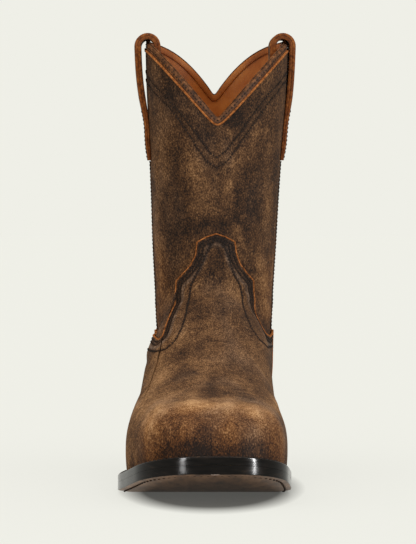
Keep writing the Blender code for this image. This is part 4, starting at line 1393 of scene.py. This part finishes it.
# OUTSOLE
# One piece of oak-bark sole leather, 6.2 mm thick, with toe spring, waist and a level tread. The edge is
# inked with the welt's, and the lockstitch comes out in a channel near the rim of the underside.
EDGE_SLOPE = 0.0090
EDGE_LIFT = 0.0012
CHANNEL = 0.0042
CHANNEL_DEEP = 0.0004
CHANNEL_STITCH = (0.0042, 0.0029, 0.0012, 0.0002)


def sole_leather_finish():
    """Oak-bark sole leather, waxed: mid brown, faintly glossy, scuffed lengthwise, with grit in its face."""
    return mottled(
        "waxed_sole_leather", {"Scale": 150.0, "Detail": 5.0, "Roughness": 0.65},
        ((0.3, "#3f2a18"), (0.5, "#674930"), (0.7, "#856347")), (0.4, 0.0004),
        stretch=(1.0, 0.3, 1.0), Roughness=0.5,
    )


SOLE_LEATHER = sole_leather_finish()


def make_outsole_leather():
    """Rows across the sole from edge to edge and columns toe to heel: down the trimmed edge, round its
    corner, then the underside, whose height is the tread's with the rim lifted and the channel sunk, then
    the top."""
    lateral, medial = sole_edge(SOLE_AROUND, -1.0), sole_edge(SOLE_AROUND, 1.0)
    wide = np.linalg.norm(lateral - medial, axis=1, keepdims=True)
    wide = np.maximum(wide, 2 * EDGE_SLOPE + 0.002)
    turn = np.linspace(0, math.pi / 2, 5)
    flat = [0.0014, 0.0022, 0.0030, 0.0036, CHANNEL, 0.0048, 0.0056, 0.0072, EDGE_SLOPE]
    depth = np.concatenate([[0, 0], SOLE_CORNER * (1 - np.cos(turn)), flat])
    drop = np.concatenate([[OUTSOLE, OUTSOLE / 2], SOLE_CORNER * (1 - np.sin(turn)), np.zeros(len(flat))])
    inner = np.linspace(0, 1, 16)[1:-1]
    share_of = np.minimum(depth / wide, 0.5)
    fill = share_of[:, -1:] + (1 - 2 * share_of[:, -1:]) * inner
    share = np.concatenate([share_of, fill, 1 - share_of[:, ::-1]], axis=1)
    depth_of = np.minimum(share, 1 - share) * wide
    rise = np.concatenate([drop, 0 * inner, drop[::-1]])
    rows = lateral[:, None] + share[..., None] * (medial - lateral)[:, None]
    lift = EDGE_LIFT * curve(SOLE_AROUND, LEDGE["around"], LEDGE["lift"])[:, None]
    rim = lift * (1 - np.clip(depth_of / EDGE_SLOPE, 0, 1)) ** 1.5
    rear = ease((rows[..., 1] - (HEEL_BACK - HEEL_LENGTH) + 0.03) / 0.02)
    sunk = CHANNEL_DEEP * furrows([depth_of - CHANNEL], 0.0006) * (1 - rear)
    rows[..., 2] = tread_height(rows[..., 1]) + rise + np.where(rise < OUTSOLE / 3, rim + sunk, 0)
    rings = closed_ends(np.concatenate([rows, (rows[:, :1] + rows[:, -1:]) / 2], axis=1))
    faces = grid_faces(*rings.shape[:2], False, True)
    column = np.arange(rings.shape[1])
    shown = np.tile((column >= 5) & (column < len(column) - 7), len(rings) - 1)
    made = piece("outsole_leather", rings, faces, [INKED, SOLE_LEATHER], shown, weld=True)
    made.data.set_sharp_from_angle(angle=math.radians(35))
    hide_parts("outsole")

    seam = loop_round(lambda side: sole_edge(SOLE_AROUND, side, CHANNEL))
    seam = evenly(np.concatenate([seam[-118:], seam[:119]]), LINE_STEP)
    seam = at_height(seam, tread_height(seam[:, 1]) + 0.0005)
    stitches("sole_channel_stitches", [(seam, -upright(seam))], *CHANNEL_STITCH)


make_outsole_leather()


# HEEL
# Stack of leather lifts glued and pegged under the outsole, its sides trimmed, inked and polished like the
# sole's edge, over a cap of black rubber that stands on the floor.
HEEL_CAP = 0.0065
HEEL_INSET = 0.0010
HEEL_TAPER = 0.0030
LIFTS = 5
LIFT_GROOVE = 0.00022
HEEL_ROUND_OFF = 0.0004
SLIM = 0.004


def rubber_finish():
    """Moulded heel rubber: matt black, with a grain of 0.7 mm and grey scuffs."""
    return mottled(
        "moulded_heel_rubber", {"Scale": 180.0, "Detail": 5.0},
        ((0.4, "#121111"), (0.6, "#1f1d1c"), (0.8, "#3d3936")), (0.3, 0.0003),
        grain=("ShaderNodeTexVoronoi", {"Scale": 1400.0}, "Distance"), Roughness=0.8,
    )


def heel_outline(inset, count=60):
    """The sole's edge behind the heel's straight front, and that front, as one closed line."""
    breast = HEEL_BACK - HEEL_LENGTH
    rows = []
    for side in (-1.0, 1.0):
        u = np.linspace(0.5, 1, 120)
        start = np.interp(breast, sole_edge(u, side, inset)[:, 1], u)
        rows.append(sole_edge(np.linspace(start, 1, count), side, inset))
        rows[-1][0, 1] = breast
    front = rows[1][0] + np.linspace(0, 1, 26)[1:-1, None] * (rows[0][0] - rows[1][0])
    return np.concatenate([rows[0], rows[1][-2::-1], front])


def make_heel(name, node_name, low, high, material, lifts):
    """The outline at each height, drawn in downwards, with a fine groove where two lifts meet, closed by a
    middle point below and above."""
    lift = (high - low) / lifts
    if lifts > 1:
        joints = low + lift * np.arange(1, lifts)
        close = (joints[:, None] + [-0.00025, 0, 0.00025]).ravel()
        z = np.unique(np.concatenate([np.linspace(low, high, 31), close, [low + 0.0003, high - 0.0003]]))
    else:
        z = np.array([low, low + 0.0002, low + 0.0008, (low + high) / 2, high - 0.0005, high])
    phase = (z - low) / lift
    groove = LIFT_GROOVE * furrows([(phase - np.round(phase)) * lift], LIFT_GROOVE)
    groove[[0, -1]] = HEEL_ROUND_OFF
    inset = HEEL_INSET + HEEL_TAPER * (1 - z / HEEL_HEIGHT) + groove
    wide, slim = heel_outline(0.0), heel_outline(SLIM)
    rings = closed_ends(at_height(wide + (inset / SLIM)[:, None, None] * (slim - wide), z[:, None]))
    made = piece(name, rings, grid_faces(*rings.shape[:2], False, True), [material], weld=True)
    made.data.set_sharp_from_angle(angle=math.radians(40))
    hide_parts(node_name)


def lifts_finish():
    """Stacked lifts, inked black and polished; the ink is thinner on the hard face of each lift."""
    return mottled(
        "inked_heel_lifts", {"Scale": 70.0, "Detail": 4.0},
        ((0.35, "#100c0a"), (0.6, "#241a14"), (0.8, "#4a3222")),
        stretch=(1.0, 1.0, 9.0), Roughness=0.45, Specular_IOR_Level=0.2, Anisotropic=0.8,
    )


make_heel("heel_lifts", "heel_stack", HEEL_CAP + GAP, HEEL_HEIGHT - GAP, lifts_finish(), LIFTS)
make_heel("heel_rubber", "heel_cap", 0.0, HEEL_CAP, rubber_finish(), 1)


# STUDIO
# Plain pale floor that glows, with a painted shadow under the boot where its glow falls away, a white room
# round it, one broad soft light overhead and towards the viewer, and two upright strip lights that draw the
# highlights on the polished edge of the sole.
def floor_finish():
    """Matt pale sheet that glows to stay evenly bright: a faint tooth 3 mm across, and a painted shadow
    where the boot stands on it, an oval in which the glow falls to about a tenth."""
    made, tree, shader = finish("matt_glowing_sheet_painted_shadow", Roughness=1.0, Specular_IOR_Level=0.0)
    place = add(tree, "ShaderNodeTexCoord").outputs["Object"]
    sockets = {"Vector": place, "Location": PAINTED_SHADOW_OVAL[0], "Scale": PAINTED_SHADOW_OVAL[1]}
    spot = add(tree, "ShaderNodeMapping", sockets)
    away = add(tree, "ShaderNodeVectorMath", {0: spot.outputs["Vector"]}, operation="LENGTH")
    # Painted shadow: the glow falls to about a tenth inside the oval under the boot.
    glow = add(
        tree, "ShaderNodeValToRGB", {"Fac": away.outputs["Value"]},
        stops=((0.74, "#606060"), (1.0, "#ffffff")),
    ).outputs["Color"]
    tree.links.new(glow, shader.inputs["Emission Strength"])
    shader.inputs["Emission Color"].default_value = linear(GLOW)
    tooth = add(tree, "ShaderNodeTexNoise", {"Vector": place, "Scale": 300.0})
    paper = add(
        tree, "ShaderNodeValToRGB", {"Fac": tooth.outputs["Fac"]},
        stops=((0.3, FLOOR_TONES[0]), (0.7, FLOOR_TONES[1])),
    ).outputs["Color"]
    tree.links.new(paper, shader.inputs["Base Color"])
    return made


FLOOR_TONES = ("#6d6d6b", "#6f6f6d")
GLOW = "#d6d6cf"
# The oval of painted shadow under the boot, where the floor's glow falls away, as place and scale of the
# mapping: 1 lies on its rim.
PAINTED_SHADOW_OVAL = ((0.032, 0.787, 0.0), (16.0, 6.10, 1.0))
FLOOR_REACH = 9.0
corners = np.array([(-1, -1, 0), (1, -1, 0), (1, 1, 0), (-1, 1, 0)]) * FLOOR_REACH
floor_mesh = bpy.data.meshes.new("floor")
floor_mesh.from_pydata(corners.tolist(), [], [(0, 1, 2, 3)])
floor_mesh.materials.append(floor_finish())
floor = bpy.data.objects.new("floor", floor_mesh)
bpy.context.scene.collection.objects.link(floor)

room = bpy.data.worlds.new("white_room")
room.use_nodes = True
sky = room.node_tree.nodes["Background"]
sky.inputs["Color"].default_value = linear("#efefe7")
sky.inputs["Strength"].default_value = 1.0
bpy.context.scene.world = room


def aim(made, place, target):
    """Puts a lamp or the camera at a place, turned towards a target."""
    made.location = place
    way = np.array(target, float) - np.array(place, float)
    made.rotation_euler = (math.atan2(math.hypot(way[0], way[1]), -way[2]), 0, math.atan2(-way[0], way[1]))
    bpy.context.scene.collection.objects.link(made)


def sun(name, place, strength, spread):
    """A broad soft lamp, far off."""
    lamp = bpy.data.lights.new(name, "SUN")
    lamp.energy = strength
    lamp.angle = math.radians(spread)
    aim(bpy.data.objects.new(name, lamp), place, (0, 0, 0))


def strip(name, place, watts, wide, tall):
    """An upright strip light that shows only in reflections."""
    lamp = bpy.data.lights.new(name, "AREA")
    lamp.shape = "RECTANGLE"
    lamp.size, lamp.size_y = wide, tall
    lamp.energy = watts
    made = bpy.data.objects.new(name, lamp)
    aim(made, place, (0, -0.15, 0.1))
    made.visible_diffuse = False


sun("overhead", (0.1, -0.45, 2.0), 1.2, 60)
strip("strip_left", (-0.94, -1.63, 0.45), 100, 0.26, 1.1)
strip("strip_right", (1.25, -1.35, 0.45), 220, 0.12, 1.1)

lens = bpy.data.cameras.new("camera")
lens.sensor_fit = "VERTICAL"
lens.sensor_height = 36.0
lens.lens = 2875.0 / 544.0 * 36.0
camera = bpy.data.objects.new("camera", lens)
camera.location = (-0.0042, -2.030, 0.200)
camera.rotation_euler = (math.radians(90 - 1.74), 0, 0)
bpy.context.scene.collection.objects.link(camera)
bpy.context.scene.camera = camera
bpy.context.scene.view_settings.view_transform = "Standard"
